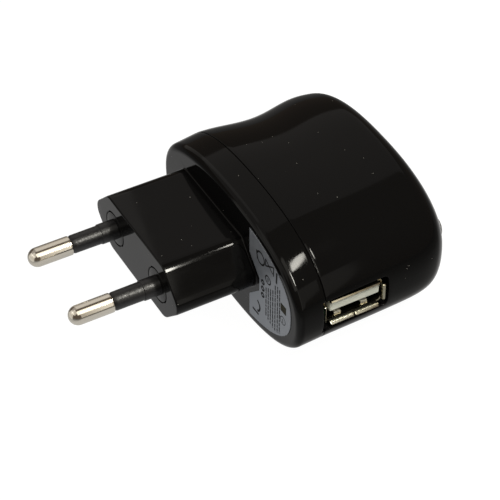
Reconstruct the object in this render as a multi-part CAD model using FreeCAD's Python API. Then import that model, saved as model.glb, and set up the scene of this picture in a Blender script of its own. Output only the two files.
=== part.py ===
"""USB wall charger with a two-pin mains plug, built as its separate pieces.

Units are millimetres. The origin is the centre of the plug's front face, midway between
the two pins. +X runs from that face into the case, +Y runs away from the USB port, and +Z
is up, square to the two large faces.
"""
import FreeCAD, Part
import math
import os

V = FreeCAD.Vector
X_AXIS = V(1, 0, 0)
Y_AXIS = V(0, 1, 0)
Z_AXIS = V(0, 0, 1)

# ---- two-pin plug (EN 50075 pattern) ----
PIN_R = 2.0
PIN_HALF_PITCH = 9.3
PIN_LENGTH = 19.0
PIN_CORE_R = 1.5
PIN_TAIL_X = 8.5
PIN_TAIL_R = 1.2
SLEEVE_LENGTH = 10.0
SLEEVE_R = 1.9
SLEEVE_TIP_R = 1.7
SLEEVE_TAPER = 0.6
COLLAR_R = 2.1
COLLAR_LENGTH = 3.5
INSERT_R = 3.8
INSERT_FLANGE_R = 4.6
INSERT_FLANGE_THICK = 1.4

PLUG_HALF_WIDTH = 17.65
PLUG_HALF_HEIGHT = 6.85
PLUG_CHAMFER = 5.7
PLUG_EDGE_R = 3.2
PLUG_TIP_R = 2.6
PLUG_WALL = 1.7
PLUG_END_WALL = 2.6

# ---- case, front to back ----
FRONT_X = 17.5
SEAM_X = 24.0
DOME_START_X = 40.2
ROUND_START_X = 50.0
BACK_X = 56.6
FRONT_RIM_R = 1.5
WALL = 1.9
SECTION_POWER = 2.35
DOME_POWER = 4.0
SECTION_POINTS = 32

SEAM_FAR_Y = 22.7
SEAM_NEAR_Y = -33.4
SEAM_HALF_HEIGHT = 14.55
WAIST_DEPTH = 1.8
WAIST_LENGTH = 24.0
NEAR_TAPER = 0.048
REAR_SWELL = 0.03
FRONT_SIDE_DRAFT = 0.1
FRONT_HEIGHT_DRAFT = 0.11

LIP_LENGTH = 2.0
LIP_INSET = 1.05
LIP_RECESS = 1.0

# ---- USB type A receptacle ----
USB_X = 30.85
USB_MOUTH_Y = -32.7
USB_OPEN_X = 12.5
USB_OPEN_Z = 5.12
USB_SHEET = 0.3
USB_DEPTH = 13.6
USB_FLARE = 0.7
USB_TOP_FLARE = 0.5
TONGUE_WIDTH = 11.1
TONGUE_THICK = 1.84
TONGUE_TOP_Z = 2.25
TONGUE_SETBACK = 1.1
CONTACT_OFFSETS = (-3.5, -1.0, 1.0, 3.5)
CONTACT_WIDTH = 1.0
CONTACT_THICK = 0.25
USB_BLOCK_THICK = 1.8
USB_AIR = 0.25
USB_NOTCH_DEPTH = 4.5
USB_NOTCH_CORNER_R = 1.0

# ---- rating label ----
LABEL_THICK = 0.12
LABEL_GAP = 1.2
LABEL_NEAR_Y = -30.9
LABEL_FAR_Y = -14.9
LABEL_HALF_HEIGHT = 11.8
LABEL_LIFT = 0.35

# ---- circuit board ----
BOARD_TOP = -(USB_OPEN_Z / 2 + USB_SHEET)
BOARD_THICK = 1.6
BOARD_X0 = 20.4
BOARD_X1 = 50.5
BOARD_Y0 = -28.6
BOARD_Y1 = 18.0
BOARD_CORNER_R = 7.0
BOARD_HOLD = 1.6
RAIL_WIDTH = 3.0
RAIL_HEIGHT = 2.4
FAR_RAILS_X = (33.0, 44.0)
NEAR_RAIL_X = 42.0
BACK_RAILS_Y = (-10.0, 4.0)
LEAD_R = 0.35
LEAD_BEND = 0.9
LEAD_END_Z = BOARD_TOP - BOARD_THICK - 1.5

# ---- transformer ----
TRANSFORMER = V(38.4, 3.0, 4.7)
CORE_LENGTH = 13.4
CORE_WIDTH = 16.0
CORE_DEPTH = 5.0
CORE_YOKE = 2.0
CORE_LEG = 2.2
CORE_CENTRE = 4.0
TUBE_WALL = 0.6
WINDING_LENGTH = 7.2
WINDING_SIZE = 10.4
TAPE_THICK = 0.3
FLANGE_THICK = 0.9
FLANGE_SIZE = 11.6

# ---- indicator ----
LENS_Y = -22.0
LENS_Z = 0.9
LENS_R = 2.5
LENS_PROUD = 0.85


def box(x0, x1, y0, y1, z0, z1):
    return Part.makeBox(x1 - x0, y1 - y0, z1 - z0, V(x0, y0, z0))


def cylinder(radius, length, start, axis):
    return Part.makeCylinder(radius, length, start, axis)


def fuse_all(shapes):
    return shapes[0].multiFuse(shapes[1:]).removeSplitter()


def group(shapes):
    return Part.makeCompound(shapes)


def lead(x, y, top_z):
    """One straight wire lead from top_z down through the board."""
    return cylinder(LEAD_R, top_z - LEAD_END_Z, V(x, y, LEAD_END_Z), Z_AXIS)


def bent_wire(points, bend):
    """Round wire along points, turning through 90 degrees at each inner point."""
    edges = []
    start = points[0]
    for corner, after in zip(points[1:-1], points[2:]):
        back = (start - corner).normalize()
        onward = (after - corner).normalize()
        entry = corner + back * bend
        leave = corner + onward * bend
        middle = corner + (back + onward) * (bend * (1 - math.sqrt(0.5)))
        edges.append(Part.LineSegment(start, entry).toShape())
        edges.append(Part.Arc(entry, middle, leave).toShape())
        start = leave
    edges.append(Part.LineSegment(start, points[-1]).toShape())
    profile = Part.Wire([Part.makeCircle(LEAD_R, points[0], points[1] - points[0])])
    return Part.Wire(edges).makePipeShell([profile], True, True)


# ---------------------------------------------------------------- case surface

def far_y(x):
    if x < SEAM_X:
        return SEAM_FAR_Y - FRONT_SIDE_DRAFT * (SEAM_X - x)
    if x > SEAM_X + WAIST_LENGTH:
        return SEAM_FAR_Y
    phase = math.pi * (x - SEAM_X) / WAIST_LENGTH
    return SEAM_FAR_Y - WAIST_DEPTH * math.sin(phase) ** 2


def near_y(x):
    if x < SEAM_X:
        return SEAM_NEAR_Y - FRONT_SIDE_DRAFT * (SEAM_X - x)
    return SEAM_NEAR_Y + NEAR_TAPER * (x - SEAM_X)


def half_height(x):
    if x < SEAM_X:
        return SEAM_HALF_HEIGHT - FRONT_HEIGHT_DRAFT * (SEAM_X - x)
    return SEAM_HALF_HEIGHT + REAR_SWELL * (x - SEAM_X)


def closing(x, start, end, power):
    """Share of the full size that is left at x, falling from 1 at start to 0 at end."""
    t = min(max((x - start) / (end - start), 0.0), 1.0)
    return max(1 - t ** power, 0.0) ** (1 / power)


def case_size(x, inset):
    """Centre y, half width and half height of the case at x, moved in by inset."""
    back = BACK_X - inset
    centre = (far_y(x) + near_y(x)) / 2
    half_width = ((far_y(x) - near_y(x)) / 2 - inset) * closing(x, DOME_START_X, back, DOME_POWER)
    height = (half_height(x) - inset) * closing(x, ROUND_START_X, back, 2.0)
    return centre, half_width, height


def signed_power(value, power):
    return math.copysign(abs(value) ** power, value)


def superellipse(x, centre_y, centre_z, half_width, height):
    """Closed superellipse across X, with the case's own power."""
    points = []
    for step in range(SECTION_POINTS):
        angle = 2 * math.pi * (step + 0.5) / SECTION_POINTS
        y = centre_y + half_width * signed_power(math.cos(angle), 2 / SECTION_POWER)
        z = centre_z + height * signed_power(math.sin(angle), 2 / SECTION_POWER)
        points.append(V(x, y, z))
    curve = Part.BSplineCurve()
    curve.interpolate(Points=points, PeriodicFlag=True)
    return Part.Wire([curve.toShape()])


def case_section(x, inset=0.0):
    centre, half_width, height = case_size(x, inset)
    return superellipse(x, centre, 0, half_width, height)


def case_solid(stations, inset=0.0):
    return Part.makeLoft([case_section(x, inset) for x in stations], True, False)


def rear_stations(start, inset):
    """Stations from start to the back wall, closer together as the dome turns."""
    even = 7
    turning = 9
    last_share = 0.91
    back = BACK_X - inset
    stations = [start + (ROUND_START_X - start) * i / even for i in range(even)]
    for i in range(turning):
        angle = last_share * math.pi / 2 * i / (turning - 1)
        stations.append(ROUND_START_X + (back - ROUND_START_X) * math.sin(angle))
    return stations


def front_stations(start, end, count=4):
    return [start + (end - start) * i / (count - 1) for i in range(count)]


# ---------------------------------------------------------------- casings

def plug_prism(x0, x1, inset):
    """Plug block between x0 and x1: flat top and bottom, sloping shoulders, narrow ends."""
    half_width = PLUG_HALF_WIDTH - inset
    top = PLUG_HALF_HEIGHT - inset
    corner_shift = inset * math.tan(math.radians(22.5))
    flat = PLUG_HALF_WIDTH - PLUG_CHAMFER - corner_shift
    tip = PLUG_HALF_HEIGHT - PLUG_CHAMFER - corner_shift
    corners = [
        (flat, top), (half_width, tip), (half_width, -tip), (flat, -top),
        (-flat, -top), (-half_width, -tip), (-half_width, tip), (-flat, top)]
    points = [V(x0, y, z) for y, z in corners]
    outline = Part.makePolygon(points + points[:1])
    return Part.Face(outline).extrude(V(x1 - x0, 0, 0))


def long_edges(shape, far_from_middle):
    """Edges along X whose distance from the middle is above or below the flats' ends."""
    limit = PLUG_HALF_WIDTH - PLUG_CHAMFER / 2
    found = []
    for edge in shape.Edges:
        start, end = [vertex.Point for vertex in edge.Vertexes]
        along_x = abs(start.y - end.y) < 0.01 and abs(start.z - end.z) < 0.01
        if along_x and (abs(start.y) > limit) == far_from_middle:
            found.append(edge)
    return found


def plug_block():
    block = plug_prism(0, FRONT_X + 1, 0)
    block = block.makeFillet(PLUG_TIP_R, long_edges(block, True))
    return block.makeFillet(PLUG_EDGE_R, long_edges(block, False))


def rim_edges(shape, x):
    return [edge for edge in shape.Edges
            if abs(edge.BoundBox.XMin - x) < 0.01 and abs(edge.BoundBox.XMax - x) < 0.01]


def usb_clearance():
    """Space that the case leaves for the receptacle, its flared lips and a little air."""
    margin = USB_SHEET + USB_FLARE + USB_AIR
    side = USB_OPEN_X / 2 + margin
    height = USB_OPEN_Z / 2 + margin
    outside = SEAM_NEAR_Y - 3
    inside = SEAM_NEAR_Y + USB_NOTCH_DEPTH
    space = box(USB_X - side, USB_X + side, outside, inside, -height, height)
    edges = []
    for edge in space.Edges:
        box_of_edge = edge.BoundBox
        if box_of_edge.YLength > 1 and box_of_edge.XMin > USB_X:
            edges.append(edge)
    return space.makeFillet(USB_NOTCH_CORNER_R, edges)


def front_cover():
    """Front shell with the plug block, the end wall's two holes and the locating lip."""
    base = case_solid(front_stations(FRONT_X, SEAM_X))
    base = base.makeFillet(FRONT_RIM_R, rim_edges(base, FRONT_X))
    shell = base.fuse(plug_block())
    lip_end = SEAM_X + LIP_LENGTH
    lip = case_solid(front_stations(SEAM_X - 1, lip_end), LIP_INSET)
    cavity = case_solid(front_stations(FRONT_X + WALL, lip_end + 1), WALL)
    plug_cavity = plug_prism(PLUG_END_WALL, FRONT_X + WALL + 0.5, PLUG_WALL)
    shell = shell.fuse(lip).cut(cavity).cut(plug_cavity)
    lip_gap = box(SEAM_X, lip_end + 1, SEAM_NEAR_Y, SEAM_NEAR_Y + 6, -5, 5)
    shell = shell.cut(lip_gap)
    for side in (-1, 1):
        hole = cylinder(INSERT_R, PLUG_END_WALL + 1, V(-0.5, side * PIN_HALF_PITCH, 0), X_AXIS)
        shell = shell.cut(hole)
    flare_relief = usb_clearance()
    return shell.cut(flare_relief)


def board_rails():
    """Blocks inside the rear cover that carry the board's edge from below."""
    top = BOARD_TOP - BOARD_THICK
    bottom = top - RAIL_HEIGHT
    rails = []
    for x in FAR_RAILS_X:
        rails.append(box(x, x + RAIL_WIDTH, BOARD_Y1 - BOARD_HOLD, SEAM_FAR_Y + 2, bottom, top))
    for y in BACK_RAILS_Y:
        rails.append(box(BOARD_X1 - BOARD_HOLD, BACK_X + 2, y, y + RAIL_WIDTH, bottom, top))
    near_end = NEAR_RAIL_X + RAIL_WIDTH
    rails.append(box(NEAR_RAIL_X, near_end, SEAM_NEAR_Y - 2, BOARD_Y0 + BOARD_HOLD, bottom, top))
    return rails


def rear_cover():
    outer = case_solid(rear_stations(SEAM_X, 0))
    cavity = case_solid([SEAM_X - 0.5] + rear_stations(SEAM_X + 0.5, WALL), WALL)
    recess = case_solid(front_stations(SEAM_X - 0.5, SEAM_X + LIP_LENGTH + 0.15), LIP_RECESS)
    shell = outer.cut(cavity).cut(recess)
    core = case_solid(rear_stations(SEAM_X + 1, WALL / 2), WALL / 2)
    for rail in board_rails():
        shell = shell.fuse(rail.common(core))
    shell = shell.cut(usb_clearance())
    return shell.cut(led_bore())


def led_bore():
    return cylinder(LENS_R, 8, V(BACK_X - 6, LENS_Y, LENS_Z), X_AXIS)


def rating_label():
    """Thin label on the front wall, shaped round the plug block's near side."""
    face_x = FRONT_X - LABEL_THICK
    centre = case_size(FRONT_X, 0)[0]
    outline = superellipse(face_x, centre, LABEL_LIFT, centre - LABEL_NEAR_Y, LABEL_HALF_HEIGHT)
    sheet = Part.Face(outline).extrude(V(LABEL_THICK, 0, 0))
    kept = box(face_x - 1, FRONT_X + 1, SEAM_NEAR_Y, LABEL_FAR_Y, -SEAM_HALF_HEIGHT, SEAM_HALF_HEIGHT)
    return sheet.common(kept).cut(plug_prism(face_x - 1, FRONT_X + 1, -LABEL_GAP))


# ---------------------------------------------------------------- plug parts

def pin(side):
    """Brass pin: domed bare end, thinner core inside the sleeve, and a tail in the case."""
    y = side * PIN_HALF_PITCH
    tip = cylinder(PIN_R, PIN_LENGTH - SLEEVE_LENGTH - PIN_R, V(-PIN_LENGTH + PIN_R, y, 0), X_AXIS)
    dome = Part.makeSphere(PIN_R, V(-PIN_LENGTH + PIN_R, y, 0))
    core = cylinder(PIN_CORE_R, SLEEVE_LENGTH + 5, V(-SLEEVE_LENGTH, y, 0), X_AXIS)
    tail = cylinder(PIN_TAIL_R, PIN_TAIL_X, V(0, y, 0), X_AXIS)
    return fuse_all([dome, tip, core, tail])


def pin_sleeve(side):
    """Insulating sleeve, tapered at its free end, with a thicker collar at the plug's face."""
    y = side * PIN_HALF_PITCH
    taper_end = SLEEVE_TAPER - SLEEVE_LENGTH
    taper = Part.makeCone(SLEEVE_TIP_R, SLEEVE_R, SLEEVE_TAPER, V(-SLEEVE_LENGTH, y, 0), X_AXIS)
    tube = cylinder(SLEEVE_R, -taper_end, V(taper_end, y, 0), X_AXIS)
    collar = cylinder(COLLAR_R, COLLAR_LENGTH, V(-COLLAR_LENGTH, y, 0), X_AXIS)
    core = cylinder(PIN_CORE_R, SLEEVE_LENGTH, V(-SLEEVE_LENGTH, y, 0), X_AXIS)
    return fuse_all([taper, tube, collar]).cut(core)


def plug_insert(side):
    """Round insert that holds one pin in the end wall, flanged on the inside."""
    y = side * PIN_HALF_PITCH
    disc = cylinder(INSERT_R - 0.05, PLUG_END_WALL, V(0, y, 0), X_AXIS)
    disc = disc.makeChamfer(0.15, rim_edges(disc, 0))
    flange = cylinder(INSERT_FLANGE_R, INSERT_FLANGE_THICK, V(PLUG_END_WALL, y, 0), X_AXIS)
    flange = flange.common(plug_prism(0, PLUG_END_WALL + 5, PLUG_WALL))
    bore = cylinder(PIN_CORE_R, 12, V(-1, y, 0), X_AXIS)
    return fuse_all([disc, flange]).cut(bore)


def pin_contact(side):
    """Bent brass strip from the pin's tail back to the board."""
    y = side * PIN_HALF_PITCH
    thick = 0.4
    half = 1.8
    start_x = 5.0
    foot_x = BOARD_X0 + 1.6
    ring = box(start_x, start_x + 3.0, y - half, y + half, -half, half)
    arm = box(start_x + 3.0 - thick, foot_x, y - half, y + half, half - thick, half)
    leg = box(foot_x - thick, foot_x, y - half, y + half, BOARD_TOP, half)
    tab = box(foot_x - thick, foot_x, y - 0.6, y + 0.6, BOARD_TOP - BOARD_THICK - 1, BOARD_TOP)
    strip = fuse_all([ring, arm, leg, tab])
    return strip.cut(cylinder(PIN_TAIL_R, PIN_TAIL_X, V(0, y, 0), X_AXIS))


# ---------------------------------------------------------------- USB receptacle

def usb_shell():
    """Folded sheet shell: four flared lips at the mouth, two springs and four legs."""
    half_x = USB_OPEN_X / 2
    half_z = USB_OPEN_Z / 2
    front = USB_MOUTH_Y + USB_FLARE
    back = USB_MOUTH_Y + USB_DEPTH
    out_x = half_x + USB_SHEET
    out_z = half_z + USB_SHEET
    tube = box(USB_X - out_x, USB_X + out_x, front, back, -out_z, out_z)
    tube = tube.cut(box(USB_X - half_x, USB_X + half_x, front - 1, back + 1, -half_z, half_z))
    legs_x = CONTACT_OFFSETS[-1] + CONTACT_WIDTH
    tube = tube.cut(box(USB_X - legs_x, USB_X + legs_x, back - USB_BLOCK_THICK, back + 1, -out_z - 1, 0))
    parts = [tube]
    for sign in (-1, 1):
        parts.append(flared_lip(sign, half_x - 0.7, half_z, USB_TOP_FLARE if sign > 0 else USB_FLARE))
        parts.append(side_lip(sign, half_z - 0.5, half_x))
        parts.append(bottom_spring(USB_X + sign * 3.0))
        for y in (front + 3.5, back - 2.5):
            leg_x = USB_X + sign * (half_x + USB_SHEET / 2)
            low = BOARD_TOP - BOARD_THICK - 1.2
            parts.append(box(leg_x - USB_SHEET / 2, leg_x + USB_SHEET / 2, y, y + 1.4, low, -half_z))
    return fuse_all(parts)


def flared_lip(sign, half_length, half_z, flare):
    """Lip on the top or bottom wall, bent outwards as it comes to the mouth."""
    root = USB_MOUTH_Y + USB_FLARE
    inner = half_z
    outer = half_z + USB_SHEET
    profile = [
        V(USB_X - half_length, root, sign * inner),
        V(USB_X - half_length, USB_MOUTH_Y, sign * (inner + flare)),
        V(USB_X - half_length, USB_MOUTH_Y + 0.2, sign * (outer + flare)),
        V(USB_X - half_length, root + 0.2, sign * outer)]
    face = Part.Face(Part.makePolygon(profile + profile[:1]))
    return face.extrude(V(2 * half_length, 0, 0))


def side_lip(sign, half_length, half_x):
    """Lip on a side wall, bent outwards as it comes to the mouth."""
    root = USB_MOUTH_Y + USB_FLARE
    inner = half_x
    outer = half_x + USB_SHEET
    profile = [
        V(USB_X + sign * inner, root, -half_length),
        V(USB_X + sign * (inner + USB_FLARE), USB_MOUTH_Y, -half_length),
        V(USB_X + sign * (outer + USB_FLARE), USB_MOUTH_Y + 0.2, -half_length),
        V(USB_X + sign * outer, root + 0.2, -half_length)]
    face = Part.Face(Part.makePolygon(profile + profile[:1]))
    return face.extrude(V(0, 0, 2 * half_length))


def bottom_spring(x):
    """Grip spring that rises from the bottom wall and points into the mouth."""
    half_width = 0.75
    floor = -USB_OPEN_Z / 2
    tip_y = USB_MOUTH_Y + 2.4
    rise = 0.75
    profile = [
        V(x - half_width, tip_y, floor),
        V(x - half_width, tip_y + 0.9, floor + rise),
        V(x - half_width, tip_y + 5.0, floor),
        V(x - half_width, tip_y + 5.0, floor - USB_SHEET / 2),
        V(x - half_width, tip_y, floor - USB_SHEET / 2)]
    face = Part.Face(Part.makePolygon(profile + profile[:1]))
    return face.extrude(V(2 * half_width, 0, 0))


def usb_contacts():
    """Four gilt strips under the tongue, each turned down behind the block to the board."""
    low = TONGUE_TOP_Z - TONGUE_THICK
    front = USB_MOUTH_Y + TONGUE_SETBACK + 0.8
    back = USB_MOUTH_Y + USB_DEPTH - USB_BLOCK_THICK
    strips = []
    for offset in CONTACT_OFFSETS:
        x0 = USB_X + offset - CONTACT_WIDTH / 2
        x1 = x0 + CONTACT_WIDTH
        flat = box(x0, x1, front, back + 0.9, low - CONTACT_THICK, low)
        down = BOARD_TOP - BOARD_THICK - 1.0
        drop = box(x0 + 0.2, x1 - 0.2, back + 0.6, back + 0.9, down, low)
        strips.append(fuse_all([flat, drop]))
    return group(strips)


def usb_tongue():
    """Insulating tongue and the block that closes the back of the receptacle."""
    front = USB_MOUTH_Y + TONGUE_SETBACK
    back = USB_MOUTH_Y + USB_DEPTH
    block_front = back - USB_BLOCK_THICK
    low = TONGUE_TOP_Z - TONGUE_THICK
    half = TONGUE_WIDTH / 2
    tongue = box(USB_X - half, USB_X + half, front, block_front, low, TONGUE_TOP_Z)
    nose = [edge for edge in tongue.Edges if abs(edge.BoundBox.YMax - front) < 0.01]
    tongue = tongue.makeChamfer(0.2, nose)
    half_x = USB_OPEN_X / 2
    half_z = USB_OPEN_Z / 2
    block = box(USB_X - half_x, USB_X + half_x, block_front, back, -half_z, half_z)
    body = fuse_all([tongue, block])
    slots = []
    for offset in CONTACT_OFFSETS:
        x = USB_X + offset
        slots.append(box(x - 0.5, x + 0.5, front + 0.8, block_front + 0.9, low - CONTACT_THICK, low))
        slots.append(box(x - 0.3, x + 0.3, block_front + 0.6, block_front + 0.9, -half_z - 1, low))
    for slot in slots:
        body = body.cut(slot)
    return body


# ---------------------------------------------------------------- board and its parts

def board_blank():
    blank = box(BOARD_X0, BOARD_X1, BOARD_Y0, BOARD_Y1, BOARD_TOP - BOARD_THICK, BOARD_TOP)
    corners = []
    for edge in blank.Edges:
        bounds = edge.BoundBox
        if bounds.ZLength > 1 and bounds.XMin > BOARD_X1 - 0.1:
            corners.append(edge)
    return blank.makeFillet(BOARD_CORNER_R, corners)


def circuit_board(through_parts):
    """Board with a hole for everything that passes through it."""
    board = board_blank()
    for shape in through_parts:
        for solid in shape.Solids:
            if solid.BoundBox.ZMin < BOARD_TOP - 0.1:
                board = board.cut(solid)
    return board


def around(centre, size_x, size_y, size_z, offset=V(0, 0, 0)):
    middle = centre + offset
    return box(middle.x - size_x / 2, middle.x + size_x / 2,
               middle.y - size_y / 2, middle.y + size_y / 2,
               middle.z - size_z / 2, middle.z + size_z / 2)


def transformer_core():
    """Two E-shaped ferrite halves, meeting in the middle of the winding."""
    outer = around(TRANSFORMER, CORE_LENGTH, CORE_WIDTH, CORE_DEPTH)
    window_length = CORE_LENGTH - 2 * CORE_YOKE
    window_width = (CORE_WIDTH - 2 * CORE_LEG - CORE_CENTRE) / 2
    shift = CORE_CENTRE / 2 + window_width / 2
    for sign in (-1, 1):
        outer = outer.cut(around(TRANSFORMER, window_length, window_width, CORE_DEPTH + 1,
                                 V(0, sign * shift, 0)))
    halves = []
    for sign in (-1, 1):
        half_space = around(TRANSFORMER, 20, 30, 20, V(sign * 10, 0, 0))
        halves.append(outer.common(half_space))
    return group(halves)


def transformer_bobbin():
    """Coil former: tube, two flanges and the two pin rails that stand on the board."""
    tube_y = CORE_CENTRE + 2 * TUBE_WALL
    tube_z = CORE_DEPTH + 2 * TUBE_WALL
    window_length = CORE_LENGTH - 2 * CORE_YOKE
    parts = [around(TRANSFORMER, window_length, tube_y, tube_z)]
    for sign in (-1, 1):
        flange_x = sign * (WINDING_LENGTH / 2 + FLANGE_THICK / 2)
        parts.append(around(TRANSFORMER, FLANGE_THICK, FLANGE_SIZE, FLANGE_SIZE, V(flange_x, 0, 0)))
        rail_top = -CORE_DEPTH / 2
        rail_bottom = BOARD_TOP - TRANSFORMER.z
        rail_x = sign * (CORE_LENGTH / 2 - 0.9)
        rail = around(TRANSFORMER, 3.4, FLANGE_SIZE + 2, rail_top - rail_bottom,
                      V(rail_x, 0, (rail_top + rail_bottom) / 2))
        parts.append(rail)
    bobbin = fuse_all(parts)
    bobbin = bobbin.cut(around(TRANSFORMER, 30, CORE_CENTRE, CORE_DEPTH))
    core = transformer_core()
    for half in core.Solids:
        bobbin = bobbin.cut(half)
    for wire in transformer_pins().Solids:
        bobbin = bobbin.cut(wire)
    return bobbin


def transformer_winding():
    outer = around(TRANSFORMER, WINDING_LENGTH, WINDING_SIZE, WINDING_SIZE)
    return outer.cut(around(TRANSFORMER, 20, CORE_CENTRE + 2 * TUBE_WALL, CORE_DEPTH + 2 * TUBE_WALL))


def transformer_tape():
    size = WINDING_SIZE + 2 * TAPE_THICK
    outer = around(TRANSFORMER, WINDING_LENGTH, size, size)
    return outer.cut(around(TRANSFORMER, 20, WINDING_SIZE, WINDING_SIZE))


def transformer_pins():
    wires = []
    for sign in (-1, 1):
        x = TRANSFORMER.x + sign * (CORE_LENGTH / 2 - 0.4)
        for row in range(4):
            y = TRANSFORMER.y + 3.2 * (row - 1.5)
            wires.append(lead(x, y, BOARD_TOP + 1.6))
    return group(wires)


def electrolytic(x, y, radius, height, pitch):
    """Upright can with its rolled groove and the cross-scored vent, as one solid."""
    base = BOARD_TOP + 0.3
    can = cylinder(radius, height, V(x, y, base), Z_AXIS)
    rims = [edge for edge in can.Edges if edge.BoundBox.ZLength < 0.01]
    can = can.makeFillet(0.5, rims)
    groove_z = base + 1.6
    groove = Part.makeTorus(radius + 0.25, 0.55, V(x, y, groove_z), Z_AXIS)
    can = can.cut(groove)
    top = base + height
    for turn in (0, 90):
        score = box(x - radius * 0.6, x + radius * 0.6, y - 0.1, y + 0.1, top - 0.15, top + 1)
        score.rotate(V(x, y, 0), Z_AXIS, turn)
        can = can.cut(score)
    for sign in (-1, 1):
        can = can.fuse(lead(x, y + sign * pitch / 2, base + 0.2))
    return can


def input_capacitor():
    return electrolytic(26.6, 10.4, 4.0, 10.2, 3.5)


def output_capacitor():
    return electrolytic(44.2, -17.6, 3.15, 11.0, 2.5)


def axial_part(x, y, z, radius, length, span, along):
    """Lying body with its two leads bent down into the board."""
    start = V(x, y, z) - along * (length / 2)
    body = cylinder(radius, length, start, along)
    rims = [edge for edge in body.Edges if edge.Curve.TypeId == "Part::GeomCircle"]
    body = body.makeFillet(radius * 0.25, rims)
    near = V(x, y, z) - along * (span / 2)
    far = V(x, y, z) + along * (span / 2)
    drop = Z_AXIS * (z - LEAD_END_Z)
    wire = bent_wire([near - drop, near, far, far - drop], LEAD_BEND)
    return fuse_all([body, wire])


def fuse_resistor():
    return axial_part(27.4, -9.6, BOARD_TOP + 1.8, 1.6, 8.0, 11.0, Y_AXIS)


def rectifier_diodes():
    diodes = []
    for x in (36.2, 45.2):
        for y in (13.1, 16.2):
            diodes.append(axial_part(x, y, BOARD_TOP + 1.5, 1.2, 4.6, 7.4, X_AXIS))
    return group(diodes)


def output_diode():
    return axial_part(39.6, -13.4, BOARD_TOP + 1.6, 1.35, 5.0, 8.0, X_AXIS)


def switching_transistor():
    """Flat-faced moulded transistor on three leads."""
    x = 49.0
    y = 7.6
    base = BOARD_TOP + 2.2
    body = cylinder(2.35, 4.6, V(x, y, base), Z_AXIS)
    body = body.cut(box(x + 1.2, x + 4, y - 4, y + 4, base - 1, base + 6))
    for row in (-1, 0, 1):
        body = body.fuse(lead(x, y + row * 1.27, base + 0.5))
    return body.removeSplitter()


def optocoupler():
    """Four-legged isolating coupler that spans the board's isolation gap."""
    x = 31.6
    y = -9.4
    base = BOARD_TOP + 0.5
    body = box(x - 2.3, x + 2.3, y - 3.2, y + 3.2, base, base + 3.4)
    tops = [edge for edge in body.Edges if edge.BoundBox.ZMin > base + 3.3]
    body = body.makeChamfer(0.4, tops)
    for sign_x in (-1, 1):
        for sign_y in (-1, 1):
            foot_x = x + sign_x * 1.27
            foot_y = y + sign_y * 3.8
            body = body.fuse(lead(foot_x, foot_y, base + 1.8))
            body = body.fuse(box(foot_x - 0.3, foot_x + 0.3, min(foot_y, y), max(foot_y, y),
                                 base + 1.4, base + 1.8))
    return body.removeSplitter()


def safety_capacitor():
    """Disc capacitor standing on edge across the isolation gap."""
    centre = V(48.0, -4.2, BOARD_TOP + 5.4)
    disc = cylinder(4.0, 2.6, centre - X_AXIS * 1.3, X_AXIS)
    rims = [edge for edge in disc.Edges if edge.Curve.TypeId == "Part::GeomCircle"]
    disc = disc.makeFillet(1.1, rims)
    for sign in (-1, 1):
        disc = disc.fuse(lead(centre.x, centre.y + sign * 2.5, centre.z - 1.5))
    return disc


def input_choke():
    """Drum choke: two flanges and a wound middle, upright on two leads."""
    x = 27.0
    y = 1.2
    base = BOARD_TOP + 0.4
    parts = [
        cylinder(3.0, 1.0, V(x, y, base), Z_AXIS),
        cylinder(2.5, 7.0, V(x, y, base), Z_AXIS),
        cylinder(3.0, 1.0, V(x, y, base + 6.0), Z_AXIS)]
    for sign in (-1, 1):
        parts.append(lead(x, y + sign * 1.6, base + 0.3))
    return fuse_all(parts)


def chip_parts():
    """Small surface-mounted resistors and capacitors under the board."""
    top = BOARD_TOP - BOARD_THICK
    places = [(25.0, -4.5), (30.0, -3.0), (36.8, -8.0), (41.5, -9.5), (41.5, 8.0), (31.0, 6.5)]
    chips = []
    for x, y in places:
        chips.append(box(x - 1.0, x + 1.0, y - 0.62, y + 0.62, top - 0.55, top))
    return group(chips)


# ---------------------------------------------------------------- indicator

def lens_seat_x():
    """Where the outer surface lies at the lens's centre."""
    centre, half_width, _ = case_size(DOME_START_X, 0)
    share = abs(LENS_Y - centre) / half_width
    turn = max(1 - share ** DOME_POWER, 0.0) ** (1 / DOME_POWER)
    return DOME_START_X + (BACK_X - DOME_START_X) * turn


def led_lens():
    """Clear plug in the back wall with a domed face and a retaining flange inside."""
    seat = lens_seat_x()
    inner = seat - WALL - 1.0
    stem = cylinder(LENS_R, seat - inner, V(inner, LENS_Y, LENS_Z), X_AXIS)
    dome_r = (LENS_R ** 2 + LENS_PROUD ** 2) / (2 * LENS_PROUD)
    ball = Part.makeSphere(dome_r, V(seat + LENS_PROUD - dome_r, LENS_Y, LENS_Z))
    cap = ball.common(cylinder(LENS_R, LENS_PROUD + 1, V(seat, LENS_Y, LENS_Z), X_AXIS))
    return fuse_all([stem, cap])


def status_led():
    """Three-millimetre LED lying behind the lens, its leads bent down to the board."""
    face_x = lens_seat_x() - WALL - 1.3
    radius = 1.45
    length = 3.6
    body = cylinder(radius, length, V(face_x - length - radius, LENS_Y, LENS_Z), X_AXIS)
    rim = cylinder(radius + 0.35, 0.8, V(face_x - length - radius, LENS_Y, LENS_Z), X_AXIS)
    dome = Part.makeSphere(radius, V(face_x - radius, LENS_Y, LENS_Z))
    parts = [body, rim, dome]
    back_x = face_x - length - radius
    bend_x = back_x - 1.6
    for sign in (-1, 1):
        y = LENS_Y + sign * 0.9
        route = [V(back_x + 0.5, y, LENS_Z), V(bend_x, y, LENS_Z), V(bend_x, y, LEAD_END_Z)]
        parts.append(bent_wire(route, LEAD_BEND))
    return fuse_all(parts)


# ---------------------------------------------------------------- everything

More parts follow.
